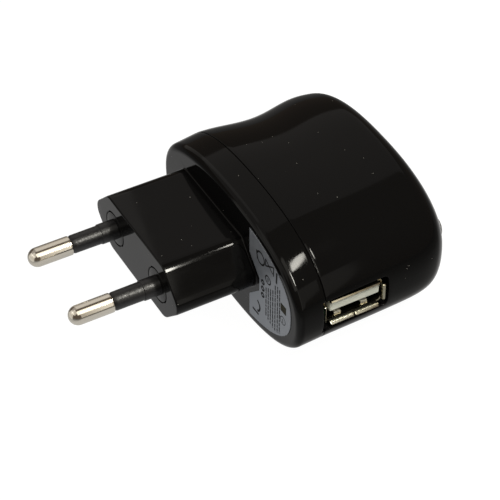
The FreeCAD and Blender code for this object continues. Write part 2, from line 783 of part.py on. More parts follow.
def build_nodes():
    nodes = {
        "front_cover": front_cover(),
        "rear_cover": rear_cover(),
        "rating_label": rating_label(),
        "usb_shell": usb_shell(),
        "usb_tongue": usb_tongue(),
        "usb_contacts": usb_contacts(),
        "transformer_core": transformer_core(),
        "transformer_bobbin": transformer_bobbin(),
        "transformer_winding": transformer_winding(),
        "transformer_tape": transformer_tape(),
        "transformer_pins": transformer_pins(),
        "input_capacitor": input_capacitor(),
        "output_capacitor": output_capacitor(),
        "fuse_resistor": fuse_resistor(),
        "rectifier_diodes": rectifier_diodes(),
        "output_diode": output_diode(),
        "switching_transistor": switching_transistor(),
        "optocoupler": optocoupler(),
        "safety_capacitor": safety_capacitor(),
        "input_choke": input_choke(),
        "chip_parts": chip_parts(),
        "status_led": status_led(),
        "led_lens": led_lens(),
    }
    for side, name in ((-1, "near"), (1, "far")):
        nodes["pin_" + name] = pin(side)
        nodes["pin_sleeve_" + name] = pin_sleeve(side)
        nodes["plug_insert_" + name] = plug_insert(side)
        nodes["pin_contact_" + name] = pin_contact(side)
    through = [shape for name, shape in nodes.items() if name not in ("front_cover", "rear_cover")]
    nodes["circuit_board"] = circuit_board(through)
    return nodes


def main():
    os.makedirs("parts", exist_ok=True)
    for name, shape in build_nodes().items():
        shape.exportStep(os.path.join("parts", name + ".step"))
        print(name, len(shape.Solids), "solids, valid", shape.isValid(), "volume", round(shape.Volume, 1))


main()
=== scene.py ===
"""USB wall charger: the visible pieces, their finishes, the floor, the light and the camera.

Shapes are worked out in millimetres, in the CAD frame: +X runs from the plug's face into the
case, -Y is the USB side and +Z is up. They become metres when a piece is made.
"""

import math

import bmesh
import bpy
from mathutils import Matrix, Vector
from mathutils.geometry import tessellate_polygon


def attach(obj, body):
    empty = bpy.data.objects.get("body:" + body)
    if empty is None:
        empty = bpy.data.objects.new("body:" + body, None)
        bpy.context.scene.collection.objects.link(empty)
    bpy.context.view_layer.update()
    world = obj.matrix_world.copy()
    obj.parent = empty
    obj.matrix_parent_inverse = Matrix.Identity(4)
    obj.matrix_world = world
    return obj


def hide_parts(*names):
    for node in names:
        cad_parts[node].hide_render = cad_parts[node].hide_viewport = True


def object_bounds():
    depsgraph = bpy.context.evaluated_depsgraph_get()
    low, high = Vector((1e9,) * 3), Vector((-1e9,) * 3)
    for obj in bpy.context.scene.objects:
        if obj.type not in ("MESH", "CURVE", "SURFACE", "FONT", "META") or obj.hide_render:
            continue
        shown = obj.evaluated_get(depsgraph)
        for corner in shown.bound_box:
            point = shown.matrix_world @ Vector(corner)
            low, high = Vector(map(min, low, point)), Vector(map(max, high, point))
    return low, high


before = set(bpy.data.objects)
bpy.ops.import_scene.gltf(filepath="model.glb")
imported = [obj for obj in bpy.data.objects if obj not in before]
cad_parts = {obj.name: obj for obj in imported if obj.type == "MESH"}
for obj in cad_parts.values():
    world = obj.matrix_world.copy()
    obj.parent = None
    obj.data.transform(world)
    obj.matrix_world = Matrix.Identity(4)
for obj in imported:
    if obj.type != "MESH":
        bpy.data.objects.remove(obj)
cad_low, cad_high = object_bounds()

MM = 0.001
SHARP_ANGLE = 32.0
TURNED_STEPS = 72
HALF_TURN = math.pi
FULL_TURN = 2 * math.pi

# ---- camera ----
CAMERA_AIM = Vector((22.67, -5.65, -3.93)) * MM
CAMERA_AZIMUTH = -29.2
CAMERA_ELEVATION = 42.7
CAMERA_DISTANCE = 0.380
CAMERA_LENS = 135.98

# ---- plug ----
PIN_R = 2.0
PIN_HALF_PITCH = 9.3
PIN_LENGTH = 19.0
SLEEVE_LENGTH = 10.0
SLEEVE_R = 1.9
SLEEVE_TIP_R = 1.7
SLEEVE_TAPER = 0.6
COLLAR_R = 2.1
COLLAR_LENGTH = 3.5
PIN_RIM_R = 0.14
PIN_CORE_R = 1.5
PIN_TAIL_X = 8.5
SLEEVE_GAP = 0.03
SLEEVE_TIP_EDGE_R = 0.08
SMALL_EDGE_R = 0.12
INSERT_R = 3.8
INSERT_GAP = 0.2
INSERT_LEAD_IN = 0.14
INSERT_FLANGE_R = 4.55
INSERT_FLANGE_THICK = 1.4
PLUG_HALF_WIDTH = 17.65
PLUG_HALF_HEIGHT = 6.85
PLUG_CHAMFER = 5.7
PLUG_EDGE_R = 3.2
PLUG_TIP_R = 2.6
PLUG_FACE_EDGE_R = 0.35
PLUG_WALL = 1.7
PLUG_END_WALL = 2.6
PLUG_FOOT_R = 0.3
MITRE_ANGLE = 22.5

# ---- case ----
FRONT_X = 17.5
SEAM_X = 24.0
DOME_START_X = 40.2
ROUND_START_X = 50.0
BACK_X = 56.6
FRONT_RIM_R = 1.5
FRONT_MARGIN = 0.15
WALL = 1.9
SECTION_POWER = 2.35
DOME_POWER = 4.0
SEAM_FAR_Y = 22.7
SEAM_NEAR_Y = -33.4
SEAM_HALF_HEIGHT = 14.55
WAIST_DEPTH = 1.8
WAIST_LENGTH = 24.0
NEAR_TAPER = 0.048
REAR_SWELL = 0.03
FRONT_SIDE_DRAFT = 0.1
FRONT_HEIGHT_DRAFT = 0.11
LIP_LENGTH = 2.0
LIP_INSET = 1.05
LIP_RECESS = 1.0
LIP_END_GAP = 0.15
DOME_TURN_SHARE = 0.52
DOME_SHRINK_STEPS = 26
SEAM_GAP = 0.07
SEAM_EDGE_R = 0.13
EDGE_STEPS = 4
ROUND_STEPS = 12
AROUND_STEPS = 190

# ---- opening for the USB port ----
NOTCH_START_X = 23.35
NOTCH_END_X = 38.35
NOTCH_HALF_HEIGHT = 3.81
NOTCH_CORNER_R = 1.0
NOTCH_EDGE_R = 0.16
NOTCH_INNER_ROWS = 6
NOTCH_CORNER_STEPS = 7
NOTCH_FRONT_DEPTH = 1.8

# ---- USB receptacle ----
USB_X = 30.85
USB_MOUTH_Y = -32.7
USB_HALF_X = 6.25
USB_HALF_Z = 2.56
USB_SHEET = 0.3
USB_DEPTH = 13.6
USB_FLARE = 0.7
USB_CORNER_R = 0.45
TONGUE_HALF_WIDTH = 5.55
TONGUE_THICK = 2.1
TONGUE_TOP_Z = 2.25
TONGUE_SETBACK = 0.5
USB_BLOCK_THICK = 1.8
PORT_LIP_BEND_R = 0.85
PORT_LIP_CORNER = 0.3
PORT_SLIT = 0.09
TOP_LIP_TURN = 48
BOTTOM_LIP_TURN = 66
SIDE_LIP_TURN = 62
SPRING_HALF_PITCH = 3.0
SPRING_SETBACK = 1.75
SPRING_HALF_WIDTH = 0.72
SPRING_THICK = 0.26
LEG_LENGTH = 2.8
LEG_WIDTH = 1.4
# Painted shade inside the USB port: colours stay full to PORT_LIT_DEPTH, then fade over PORT_FADE_DEPTH to
# PORT_SHADE.
PORT_LIT_DEPTH = 0.9
PORT_FADE_DEPTH = 1.5
PORT_SHADE = 0.12

# ---- label ----
LABEL_THICK = 0.12
LABEL_GAP = 1.2
LABEL_NEAR_Y = -30.9
LABEL_FAR_Y = -14.9
LABEL_HALF_HEIGHT = 11.8
LABEL_LIFT = 0.35
PRINT_THICK = 0.012
LABEL_SINK = 0.01

# ---- indicator lens ----
LENS_Y = -22.0
LENS_Z = 0.9
LENS_R = 2.5
LENS_PROUD = 0.85
LENS_DEPTH = 2.9


# ---- placing the camera ----

def place_camera():
    azimuth = math.radians(CAMERA_AZIMUTH)
    elevation = math.radians(CAMERA_ELEVATION)
    back = Vector((
        math.sin(azimuth) * math.cos(elevation),
        -math.cos(azimuth) * math.cos(elevation),
        math.sin(elevation)))
    data = bpy.data.cameras.new("camera")
    data.lens = CAMERA_LENS
    data.sensor_width = 36.0
    data.clip_start = 0.01
    data.clip_end = 20.0
    camera = bpy.data.objects.new("camera", data)
    camera.location = CAMERA_AIM + back * CAMERA_DISTANCE
    camera.rotation_euler = back.to_track_quat("Z", "Y").to_euler()
    bpy.context.scene.collection.objects.link(camera)
    bpy.context.scene.camera = camera


place_camera()


# ---- mesh helpers ----

class Sheet:
    """Points in millimetres, and the faces between them."""

    def __init__(self):
        self.points = []
        self.faces = []

    def ring(self, points):
        start = len(self.points)
        self.points.extend(points)
        return list(range(start, len(self.points)))

    def bridge(self, first, second, closed=True, skip=()):
        count = len(first)
        for i in range(count if closed else count - 1):
            if i in skip:
                continue
            j = (i + 1) % count
            self.faces.append((first[i], first[j], second[j], second[i]))

    def chain(self, rings, closed=True):
        for first, second in zip(rings, rings[1:]):
            self.bridge(first, second, closed)

    def fan(self, ring, centre):
        tip = self.ring([centre])[0]
        for here, onward in zip(ring, ring[1:] + ring[:1]):
            self.faces.append((here, onward, tip))

    def fill(self, *loops):
        """Flat face inside the first loop, with the other loops as holes in it."""
        indices = [index for loop in loops for index in loop]
        outlines = [[Vector(self.points[index]) for index in loop] for loop in loops]
        for triangle in tessellate_polygon(outlines):
            self.faces.append(tuple(indices[corner] for corner in triangle))

    def solid(self, rings):
        """Closed body through the rings, with both ends filled flat."""
        self.chain(rings)
        self.fill(rings[0])
        self.fill(rings[-1])


def make_piece(name, sheet, material, nodes=(), weighted=False):
    """Turns a sheet into a shown piece that stands for the named CAD nodes."""
    mesh = bpy.data.meshes.new(name)
    mesh.from_pydata([tuple(value * MM for value in point) for point in sheet.points], [], sheet.faces)
    edit = bmesh.new()
    edit.from_mesh(mesh)
    bmesh.ops.remove_doubles(edit, verts=edit.verts, dist=2e-6)
    bmesh.ops.recalc_face_normals(edit, faces=edit.faces)
    edit.to_mesh(mesh)
    edit.free()
    mesh.shade_smooth()
    mesh.set_sharp_from_angle(angle=math.radians(SHARP_ANGLE))
    mesh.materials.append(material)
    piece = bpy.data.objects.new(name, mesh)
    bpy.context.scene.collection.objects.link(piece)
    if weighted:
        modifier = piece.modifiers.new("flat_faces", "WEIGHTED_NORMAL")
        modifier.keep_sharp = True
    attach(piece, "root")
    if nodes:
        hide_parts(*nodes)


def quarter(steps):
    """Angles from 0 to a quarter turn."""
    return [HALF_TURN / 2 * i / steps for i in range(steps + 1)]


def rolled(radius, steps):
    """Quarter round as (setback, inset) pairs, from a full setback to a full inset."""
    return [(radius * (1 - math.sin(angle)), radius * (1 - math.cos(angle))) for angle in quarter(steps)]


def rounded_outline(corners, radii, steps):
    """Closed outline of (a, b) corners, each rounded by its radius with steps points."""
    points = []
    count = len(corners)
    for i, corner in enumerate(corners):
        here = Vector(corner)
        before = (Vector(corners[i - 1]) - here).normalized()
        after = (Vector(corners[(i + 1) % count]) - here).normalized()
        opening = before.angle(after)
        middle = (before + after).normalized()
        centre = here + middle * (radii[i] / math.sin(opening / 2))
        start = here + before * (radii[i] / math.tan(opening / 2)) - centre
        end = here + after * (radii[i] / math.tan(opening / 2)) - centre
        turn = start.angle(end)
        for step in range(steps):
            share = step / (steps - 1)
            along = math.sin((1 - share) * turn) / math.sin(turn)
            onward = math.sin(share * turn) / math.sin(turn)
            point = centre + start * along + end * onward
            points.append((point.x, point.y))
    return points


# ---- case surface ----

def far_y(x):
    if x < SEAM_X:
        return SEAM_FAR_Y - FRONT_SIDE_DRAFT * (SEAM_X - x)
    if x > SEAM_X + WAIST_LENGTH:
        return SEAM_FAR_Y
    phase = HALF_TURN * (x - SEAM_X) / WAIST_LENGTH
    return SEAM_FAR_Y - WAIST_DEPTH * math.sin(phase) ** 2


def near_y(x):
    if x < SEAM_X:
        return SEAM_NEAR_Y - FRONT_SIDE_DRAFT * (SEAM_X - x)
    return SEAM_NEAR_Y + NEAR_TAPER * (x - SEAM_X)


def half_height(x):
    if x < SEAM_X:
        return SEAM_HALF_HEIGHT - FRONT_HEIGHT_DRAFT * (SEAM_X - x)
    return SEAM_HALF_HEIGHT + REAR_SWELL * (x - SEAM_X)


def closing(x, start, end, power):
    """Share of the full size that is left at x, falling from 1 at start to 0 at end."""
    t = min(max((x - start) / (end - start), 0.0), 1.0)
    return max(1 - t ** power, 0.0) ** (1 / power)


def case_size(x, inset):
    """Centre y, half width and half height of the case at x, moved in by inset."""
    back = BACK_X - inset
    centre = (far_y(x) + near_y(x)) / 2
    half_width = ((far_y(x) - near_y(x)) / 2 - inset) * closing(x, DOME_START_X, back, DOME_POWER)
    height = (half_height(x) - inset) * closing(x, ROUND_START_X, back, 2.0)
    return centre, half_width, height


def signed_power(value, power):
    return math.copysign(abs(value) ** power, value)


def near_surface_y(x, z, inset):
    centre, half_width, height = case_size(x, inset)
    share = max(1 - abs(z / height) ** SECTION_POWER, 0.0)
    return centre - half_width * share ** (1 / SECTION_POWER)


def notch_levels(half_opening):
    """Heights of the rows that run along the USB opening, from its top to its bottom."""
    turn_level = NOTCH_HALF_HEIGHT - NOTCH_CORNER_R
    levels = [half_opening]
    for i in range(NOTCH_INNER_ROWS + 1):
        levels.append(turn_level * (1 - 2 * i / NOTCH_INNER_ROWS))
    levels.append(-half_opening)
    return levels


def case_ring(x, inset, half_opening=NOTCH_HALF_HEIGHT):
    """Points round the case at x. The first ones run down past the USB opening."""
    centre, half_width, height = case_size(x, inset)
    scale = 1.0
    if x > NOTCH_END_X + NOTCH_EDGE_R:
        scale = height / case_size(NOTCH_END_X + NOTCH_EDGE_R, inset)[2]
    points = []
    for level in notch_levels(half_opening):
        z = level * scale
        points.append((x, near_surface_y(x, z, inset), z))
    edge_share = (half_opening * scale / height) ** (SECTION_POWER / 2)
    edge_angle = math.asin(edge_share)
    sweep = FULL_TURN - 2 * edge_angle
    for i in range(1, AROUND_STEPS):
        angle = HALF_TURN + edge_angle + sweep * i / AROUND_STEPS
        y = centre + half_width * signed_power(math.cos(angle), 2 / SECTION_POWER)
        z = height * signed_power(math.sin(angle), 2 / SECTION_POWER)
        points.append((x, y, z))
    return points


NOTCH_ROWS = range(len(notch_levels(0)) - 1)


def on_dome(y, z, x_low, inset):
    """The x at which the case's surface passes over (y, z), beyond x_low."""
    low = x_low
    high = BACK_X - inset - 1e-6
    for _ in range(40):
        x = (low + high) / 2
        centre, half_width, height = case_size(x, inset)
        filled = abs((y - centre) / half_width) ** SECTION_POWER + abs(z / height) ** SECTION_POWER
        if filled > 1:
            high = x
        else:
            low = x
    return (low + high) / 2


def dome_rings(sheet, inset):
    """Closes the back from the last plain section in to the middle."""
    rings = []
    back = BACK_X - inset
    for i in range(1, ROUND_STEPS + 1):
        angle = DOME_TURN_SHARE * HALF_TURN / 2 * i / ROUND_STEPS
        x = ROUND_START_X + (back - ROUND_START_X) * math.sin(angle)
        rings.append(sheet.ring(case_ring(x, inset)))
    last = [sheet.points[index] for index in rings[-1]]
    x_last = last[0][0]
    middle_y = case_size(back, inset)[0]
    for i in range(1, DOME_SHRINK_STEPS):
        share = 1 - i / DOME_SHRINK_STEPS
        points = []
        for _, y, z in last:
            new_y = middle_y + (y - middle_y) * share
            new_z = z * share
            points.append((on_dome(new_y, new_z, x_last, inset), new_y, new_z))
        rings.append(sheet.ring(points))
    sheet.chain(rings)
    sheet.fan(rings[-1], (back, middle_y, 0.0))
    return rings[0]


def corner_arc(sheet, ring_before, ring_after, inset, grow, sign):
    """Fills one rounded corner of the USB opening: the upper one for sign 1, else the lower."""
    level = NOTCH_HALF_HEIGHT - NOTCH_CORNER_R
    radius = NOTCH_CORNER_R + grow
    centre_x = NOTCH_END_X - NOTCH_CORNER_R
    arc = []
    for i in range(1, NOTCH_CORNER_STEPS):
        angle = HALF_TURN / 2 * (1 - i / NOTCH_CORNER_STEPS)
        x = centre_x + radius * math.cos(angle)
        z = sign * (level + radius * math.sin(angle))
        arc.append((x, near_surface_y(x, z, inset), z))
    middle = sheet.ring(arc)
    outer_row = 0 if sign > 0 else len(NOTCH_ROWS)
    inner_row = outer_row + sign
    path = [ring_before[outer_row]] + middle + [ring_after[inner_row]]
    corner = ring_after[outer_row]
    for first, second in zip(path, path[1:]):
        sheet.faces.append((corner, first, second))


def opening_path(start_x, end_x, grow, straight_stations):
    """Outline of the rear cover's USB opening in (x, z), from its top round to its bottom."""
    level = NOTCH_HALF_HEIGHT - NOTCH_CORNER_R
    centre_x = end_x - NOTCH_CORNER_R
    radius = NOTCH_CORNER_R + grow
    top = [(x, level + radius) for x in straight_stations]
    for i in range(1, NOTCH_CORNER_STEPS + 1):
        angle = HALF_TURN / 2 * (1 - i / NOTCH_CORNER_STEPS)
        top.append((centre_x + radius * math.cos(angle), level + radius * math.sin(angle)))
    side = [(end_x + grow, row) for row in notch_levels(0)[2:-2]]
    bottom = [(x, -z) for x, z in reversed(top)]
    return top + side + bottom


def even_stations(start, end, count):
    return [start + (end - start) * i / count for i in range(count + 1)]


def seam_edge(sheet, seam, side):
    """Rings of a cover's rolled edge at the seam, on the side of it that the cover is."""
    rings = []
    for setback, inset in rolled(SEAM_EDGE_R, EDGE_STEPS)[1:]:
        rings.append(sheet.ring(case_ring(seam + side * setback, inset)))
    return rings


def rear_cover_sheet():
    """Rear cover: outside, rolled seam edge, step for the lip, and inside."""
    sheet = Sheet()
    seam = SEAM_X + SEAM_GAP
    straight = even_stations(seam + SEAM_EDGE_R, NOTCH_END_X - NOTCH_CORNER_R, 16)
    beyond = even_stations(NOTCH_END_X + NOTCH_EDGE_R, ROUND_START_X, 16)
    wide = NOTCH_HALF_HEIGHT + NOTCH_EDGE_R

    outside = [sheet.ring(case_ring(x, 0, wide)) for x in straight]
    edge = seam_edge(sheet, seam, 1)
    recess_end = SEAM_X + LIP_LENGTH + LIP_END_GAP
    for x, inset in ((seam, LIP_RECESS), (recess_end, LIP_RECESS), (recess_end, WALL)):
        edge.append(sheet.ring(case_ring(x, inset)))
    inner_straight = even_stations(recess_end, NOTCH_END_X - NOTCH_CORNER_R, 14)[1:]
    inside = [sheet.ring(case_ring(x, WALL)) for x in inner_straight]
    open_rings = list(reversed(outside)) + edge + inside
    for first, second in zip(open_rings, open_rings[1:]):
        sheet.bridge(first, second, skip=NOTCH_ROWS)

    outer_after = [sheet.ring(case_ring(x, 0, wide)) for x in beyond]
    sheet.bridge(outside[-1], outer_after[0], skip=NOTCH_ROWS)
    for sign in (1, -1):
        corner_arc(sheet, outside[-1], outer_after[0], 0, NOTCH_EDGE_R, sign)
    sheet.chain(outer_after)
    sheet.bridge(outer_after[-1], dome_rings(sheet, 0))

    inner_beyond = even_stations(NOTCH_END_X, ROUND_START_X, 12)
    inner_after = [sheet.ring(case_ring(x, WALL)) for x in inner_beyond]
    sheet.bridge(inside[-1], inner_after[0], skip=NOTCH_ROWS)
    for sign in (1, -1):
        corner_arc(sheet, inside[-1], inner_after[0], WALL, 0, sign)
    sheet.chain(inner_after)
    sheet.bridge(inner_after[-1], dome_rings(sheet, WALL))

    opening_walls(sheet, straight, seam)
    return sheet


def opening_walls(sheet, straight, seam):
    """Rolled edge of the USB opening and its walls through the cover."""
    loops = []
    for grow, depth in rolled(NOTCH_EDGE_R, EDGE_STEPS):
        path = opening_path(seam, NOTCH_END_X, grow, straight)
        loops.append(sheet.ring([(x, near_surface_y(x, z, 0) + depth, z) for x, z in path]))
    path = opening_path(seam, NOTCH_END_X, 0, straight)
    loops.append(sheet.ring([(x, near_surface_y(x, z, WALL), z) for x, z in path]))
    sheet.chain(loops, closed=False)


def front_cover_sheet():
    """Front cover: rolled seam edge, lip, rounded rim, front wall, plug block and inside."""
    sheet = Sheet()
    seam = SEAM_X - SEAM_GAP
    wide = NOTCH_HALF_HEIGHT + NOTCH_EDGE_R
    rim = []
    for inset, setback in rolled(FRONT_RIM_R, ROUND_STEPS):
        rim.append(sheet.ring(case_ring(FRONT_X + setback, inset, wide)))
    notch_start = NOTCH_START_X - NOTCH_EDGE_R
    plain = even_stations(FRONT_X + FRONT_RIM_R, notch_start, 6)[1:]
    outside = rim + [sheet.ring(case_ring(x, 0, wide)) for x in plain]
    sheet.chain(outside)

    edge = [outside[-1], sheet.ring(case_ring(seam - SEAM_EDGE_R, 0, wide))]
    edge += seam_edge(sheet, seam, -1)
    lip_end = SEAM_X + LIP_LENGTH
    for x, inset in ((seam, LIP_INSET), (lip_end, LIP_INSET), (lip_end, WALL), (NOTCH_START_X, WALL)):
        edge.append(sheet.ring(case_ring(x, inset)))
    for first, second in zip(edge, edge[1:]):
        sheet.bridge(first, second, skip=NOTCH_ROWS)
    inner_wall = sheet.ring(case_ring(FRONT_X + WALL, WALL))
    sheet.bridge(edge[-1], inner_wall)
    front_notch_walls(sheet, seam)

    plug_rings = plug_block_rings(sheet)
    margin_ring = case_ring(FRONT_X, FRONT_RIM_R + FRONT_MARGIN, wide)
    margin = sheet.ring(margin_ring)
    sheet.bridge(rim[0], margin)
    sheet.fill(margin, plug_rings["wall"])
    sheet.fill(inner_wall, plug_rings["inner_wall"])
    return sheet


def front_notch_walls(sheet, seam):
    """The shallow part of the USB opening that the front cover holds."""
    stations = [NOTCH_START_X, seam - SEAM_EDGE_R, seam]
    loops = []
    roll = ((NOTCH_EDGE_R, 0.0), (0.05, 0.05), (0.0, NOTCH_EDGE_R))
    for grow, depth in roll + ((0.0, NOTCH_FRONT_DEPTH),):
        level = NOTCH_HALF_HEIGHT + grow
        path = [(x, level) for x in reversed(stations[1:])]
        path.append((NOTCH_START_X - grow, level))
        path.extend((NOTCH_START_X - grow, row) for row in notch_levels(0)[1:-1])
        path.append((NOTCH_START_X - grow, -level))
        path.extend((x, -level) for x in stations[1:])
        loops.append(sheet.ring([(x, near_surface_y(x, z, 0) + depth, z) for x, z in path]))
    sheet.chain(loops, closed=False)


def plug_outline(inset):
    """Outline of the plug block in (y, z), moved in by inset."""
    shift = inset * math.tan(math.radians(MITRE_ANGLE))
    half_width = PLUG_HALF_WIDTH - inset
    half_plug = PLUG_HALF_HEIGHT - inset
    flat = PLUG_HALF_WIDTH - PLUG_CHAMFER - shift
    tip = PLUG_HALF_HEIGHT - PLUG_CHAMFER - shift
    corners = [
        (flat, half_plug), (half_width, tip), (half_width, -tip), (flat, -half_plug),
        (-flat, -half_plug), (-half_width, -tip), (-half_width, tip), (-flat, half_plug)]
    edge = PLUG_EDGE_R - inset
    end = PLUG_TIP_R - inset
    return rounded_outline(corners, [edge, end, end, edge, edge, end, end, edge], 9)


def circle(x, y, z, radius):
    """Ring of points about an axis along X."""
    points = []
    for i in range(TURNED_STEPS):
        angle = FULL_TURN * i / TURNED_STEPS
        points.append((x, y + radius * math.cos(angle), z + radius * math.sin(angle)))
    return points


def plug_ring(sheet, x, inset):
    return sheet.ring([(x, y, z) for y, z in plug_outline(inset)])


def plug_block_rings(sheet):
    """Plug block with its end wall and the two round holes for the pin inserts."""
    stations = rolled(PLUG_FACE_EDGE_R, 5)[::-1]
    for x in even_stations(PLUG_FACE_EDGE_R, FRONT_X - PLUG_FOOT_R, 5)[1:]:
        stations.append((x, 0))
    for setback, flare in rolled(PLUG_FOOT_R, 4)[1:]:
        stations.append((FRONT_X - setback, -flare))
    rings = [plug_ring(sheet, x, inset) for x, inset in stations]
    sheet.chain(rings)

    inner_wall = plug_ring(sheet, FRONT_X + WALL, PLUG_WALL)
    inner_end = plug_ring(sheet, PLUG_END_WALL, PLUG_WALL)
    sheet.bridge(inner_wall, inner_end)

    face_holes = []
    back_holes = []
    for side in (-1, 1):
        y = side * PIN_HALF_PITCH
        mouth = sheet.ring(circle(0, y, 0, INSERT_R + INSERT_LEAD_IN))
        throat = sheet.ring(circle(INSERT_LEAD_IN, y, 0, INSERT_R))
        back = sheet.ring(circle(PLUG_END_WALL, y, 0, INSERT_R))
        sheet.chain([mouth, throat, back])
        face_holes.append(mouth)
        back_holes.append(back)
    sheet.fill(rings[0], *face_holes)
    sheet.fill(inner_end, *back_holes)
    return {"wall": rings[-1], "inner_wall": inner_wall}


# ---- turned pieces ----

def turned(profile, y, z=0.0):
    """Sheet of (x, radius) points turned about an axis along X. Radius 0 closes an end."""
    sheet = Sheet()
    rings = []
    for x, radius in profile:
        if radius > 0:
            rings.append(sheet.ring(circle(x, y, z, radius)))
    sheet.chain(rings)
    if profile[0][1] == 0:
        sheet.fan(rings[0], (profile[0][0], y, z))
    if profile[-1][1] == 0:
        sheet.fan(rings[-1], (profile[-1][0], y, z))
    return sheet


def arc_profile(centre_a, centre_b, radius, start, end, steps):
    """Points of an arc in a plane, angles in degrees from its first axis towards its second."""
    points = []
    for i in range(steps + 1):
        angle = math.radians(start + (end - start) * i / steps)
        points.append((centre_a + radius * math.cos(angle), centre_b + radius * math.sin(angle)))
    return points


def pin_sheet(y):
    """Nickel-plated pin: round tip, bare length, small rim at the sleeve, and the core inside."""
    tip = arc_profile(-PIN_LENGTH + PIN_R, 0, PIN_R, 180, 90, 20)
    profile = [(-PIN_LENGTH, 0.0)] + tip[1:]
    end = -SLEEVE_LENGTH
    profile += [(end - 0.5, PIN_R), (end - PIN_RIM_R, PIN_R)]
    profile += arc_profile(end - PIN_RIM_R, PIN_R - PIN_RIM_R, PIN_RIM_R, 90, 0, 4)[1:]
    profile += [(end, PIN_CORE_R), (PIN_TAIL_X, PIN_CORE_R), (PIN_TAIL_X, 0.0)]
    return turned(profile, y)


def sleeve_sheet(y):
    """Moulded sleeve with its thicker collar next to the plug's face."""
    start = -SLEEVE_LENGTH + SLEEVE_GAP
    tip_r = SLEEVE_TIP_R - SLEEVE_TIP_EDGE_R
    taper_end = -SLEEVE_LENGTH + SLEEVE_TAPER
    shoulder = -COLLAR_LENGTH
    profile = [(start, PIN_CORE_R), (start, tip_r)]
    profile += arc_profile(start + SLEEVE_TIP_EDGE_R, tip_r, SLEEVE_TIP_EDGE_R, 180, 105, 3)[1:]
    profile += [(taper_end, SLEEVE_R), (taper_end + 0.3, SLEEVE_R + 0.01)]
    profile += [(shoulder - 0.3, SLEEVE_R + 0.03), (shoulder, SLEEVE_R + 0.03)]
    profile += arc_profile(shoulder + SMALL_EDGE_R, COLLAR_R - SMALL_EDGE_R, SMALL_EDGE_R, 180, 90, 4)
    profile += [(-SMALL_EDGE_R, COLLAR_R), (0.0, COLLAR_R), (0.0, PIN_CORE_R)]
    return turned(profile, y)


def insert_sheet(y):
    """Round insert flush with the plug's face, with a fine gap round it."""
    radius = INSERT_R - INSERT_GAP
    flange_end = PLUG_END_WALL + INSERT_FLANGE_THICK
    profile = [(0.0, PIN_CORE_R), (0.0, radius - SMALL_EDGE_R)]
    profile += arc_profile(SMALL_EDGE_R, radius - SMALL_EDGE_R, SMALL_EDGE_R, 180, 90, 4)[1:]
    profile += [(PLUG_END_WALL, radius), (PLUG_END_WALL, INSERT_FLANGE_R)]
    profile += [(flange_end, INSERT_FLANGE_R), (flange_end, PIN_CORE_R)]
    return turned(profile, y)


def lens_sheet():
    """Domed light pipe in the back wall."""
    centre, half_width, _ = case_size(DOME_START_X, 0)
    share = abs(LENS_Y - centre) / half_width
    turn = (1 - share ** DOME_POWER) ** (1 / DOME_POWER)
    seat = DOME_START_X + (BACK_X - DOME_START_X) * turn
    ball = (LENS_R ** 2 + LENS_PROUD ** 2) / (2 * LENS_PROUD)
    reach = math.degrees(math.asin((LENS_R - SMALL_EDGE_R) / ball))
    profile = [(seat - LENS_DEPTH, 0.0), (seat - LENS_DEPTH, LENS_R), (seat - 0.1, LENS_R)]
    dome = arc_profile(seat + LENS_PROUD - ball, 0, ball, reach, 0, 14)
    profile += dome[:-1] + [(seat + LENS_PROUD, 0.0)]
    return turned(profile, LENS_Y, LENS_Z)


# ---- USB receptacle pieces ----

def tube_outline(grow, radius):
    """Rounded rectangle in (x, z) about the port's middle, grown from the opening."""
    half_x = USB_HALF_X + grow
    half_z = USB_HALF_Z + grow
    corners = [(half_x, half_z), (half_x, -half_z), (-half_x, -half_z), (-half_x, half_z)]
    return rounded_outline(corners, [radius] * 4, 7)


def folded_lip(sheet, along, outward, wall, half_length, turn, offset=0.0):
    """Lip that curls outwards at the mouth by turn degrees, along "x" or "z"."""
    reach = math.radians(turn)
    root = USB_MOUTH_Y + PORT_LIP_BEND_R * math.sin(reach)
    section = [(root + USB_FLARE, wall)]
    back = [(root + USB_FLARE, wall + USB_SHEET)]
    for i in range(7):
        angle = reach * i / 6
        for side, radius, level in ((section, PORT_LIP_BEND_R, wall),
                                    (back, PORT_LIP_BEND_R - USB_SHEET, wall + USB_SHEET)):
            side.append((root - radius * math.sin(angle), level + radius * (1 - math.cos(angle))))
    section = [(max(y, USB_MOUTH_Y), level) for y, level in section + back[::-1]]
    rings = []
    corner = PORT_LIP_CORNER
    ends = [(-half_length, corner), (-half_length + 0.09, 0.09), (-half_length + corner, 0.0)]
    stations = ends + [(-position, trim) for position, trim in reversed(ends)]
    for position, trim in stations:
        points = []
        for y, level in section:
            trimmed = max(y, USB_MOUTH_Y + trim)
            across = offset + position
            if along == "x":
                points.append((USB_X + across, trimmed, outward * level))
            else:
                points.append((USB_X + outward * level, trimmed, across))
        rings.append(sheet.ring(points))
    sheet.solid(rings)


def grip_spring(sheet, x):
    """Spring tongue cut from the bottom wall, rising towards the mouth with a turned tip."""
    floor = -USB_HALF_Z
    tip = USB_MOUTH_Y + SPRING_SETBACK
    path = [
        (tip + 6.0, floor - 0.15), (tip + 4.0, floor + 0.15), (tip + 2.2, floor + 0.5),
        (tip + 1.1, floor + 0.68), (tip + 0.55, floor + 0.66), (tip + 0.15, floor + 0.42),
        (tip, floor + 0.1)]
    half = SPRING_HALF_WIDTH
    rings = []
    for y, z in path:
        low = z - SPRING_THICK / 2
        high = z + SPRING_THICK / 2
        corners = ((x - half, low), (x - half, high), (x + half, high), (x + half, low))
        rings.append(sheet.ring([(a, y, b) for a, b in corners]))
    sheet.solid(rings)


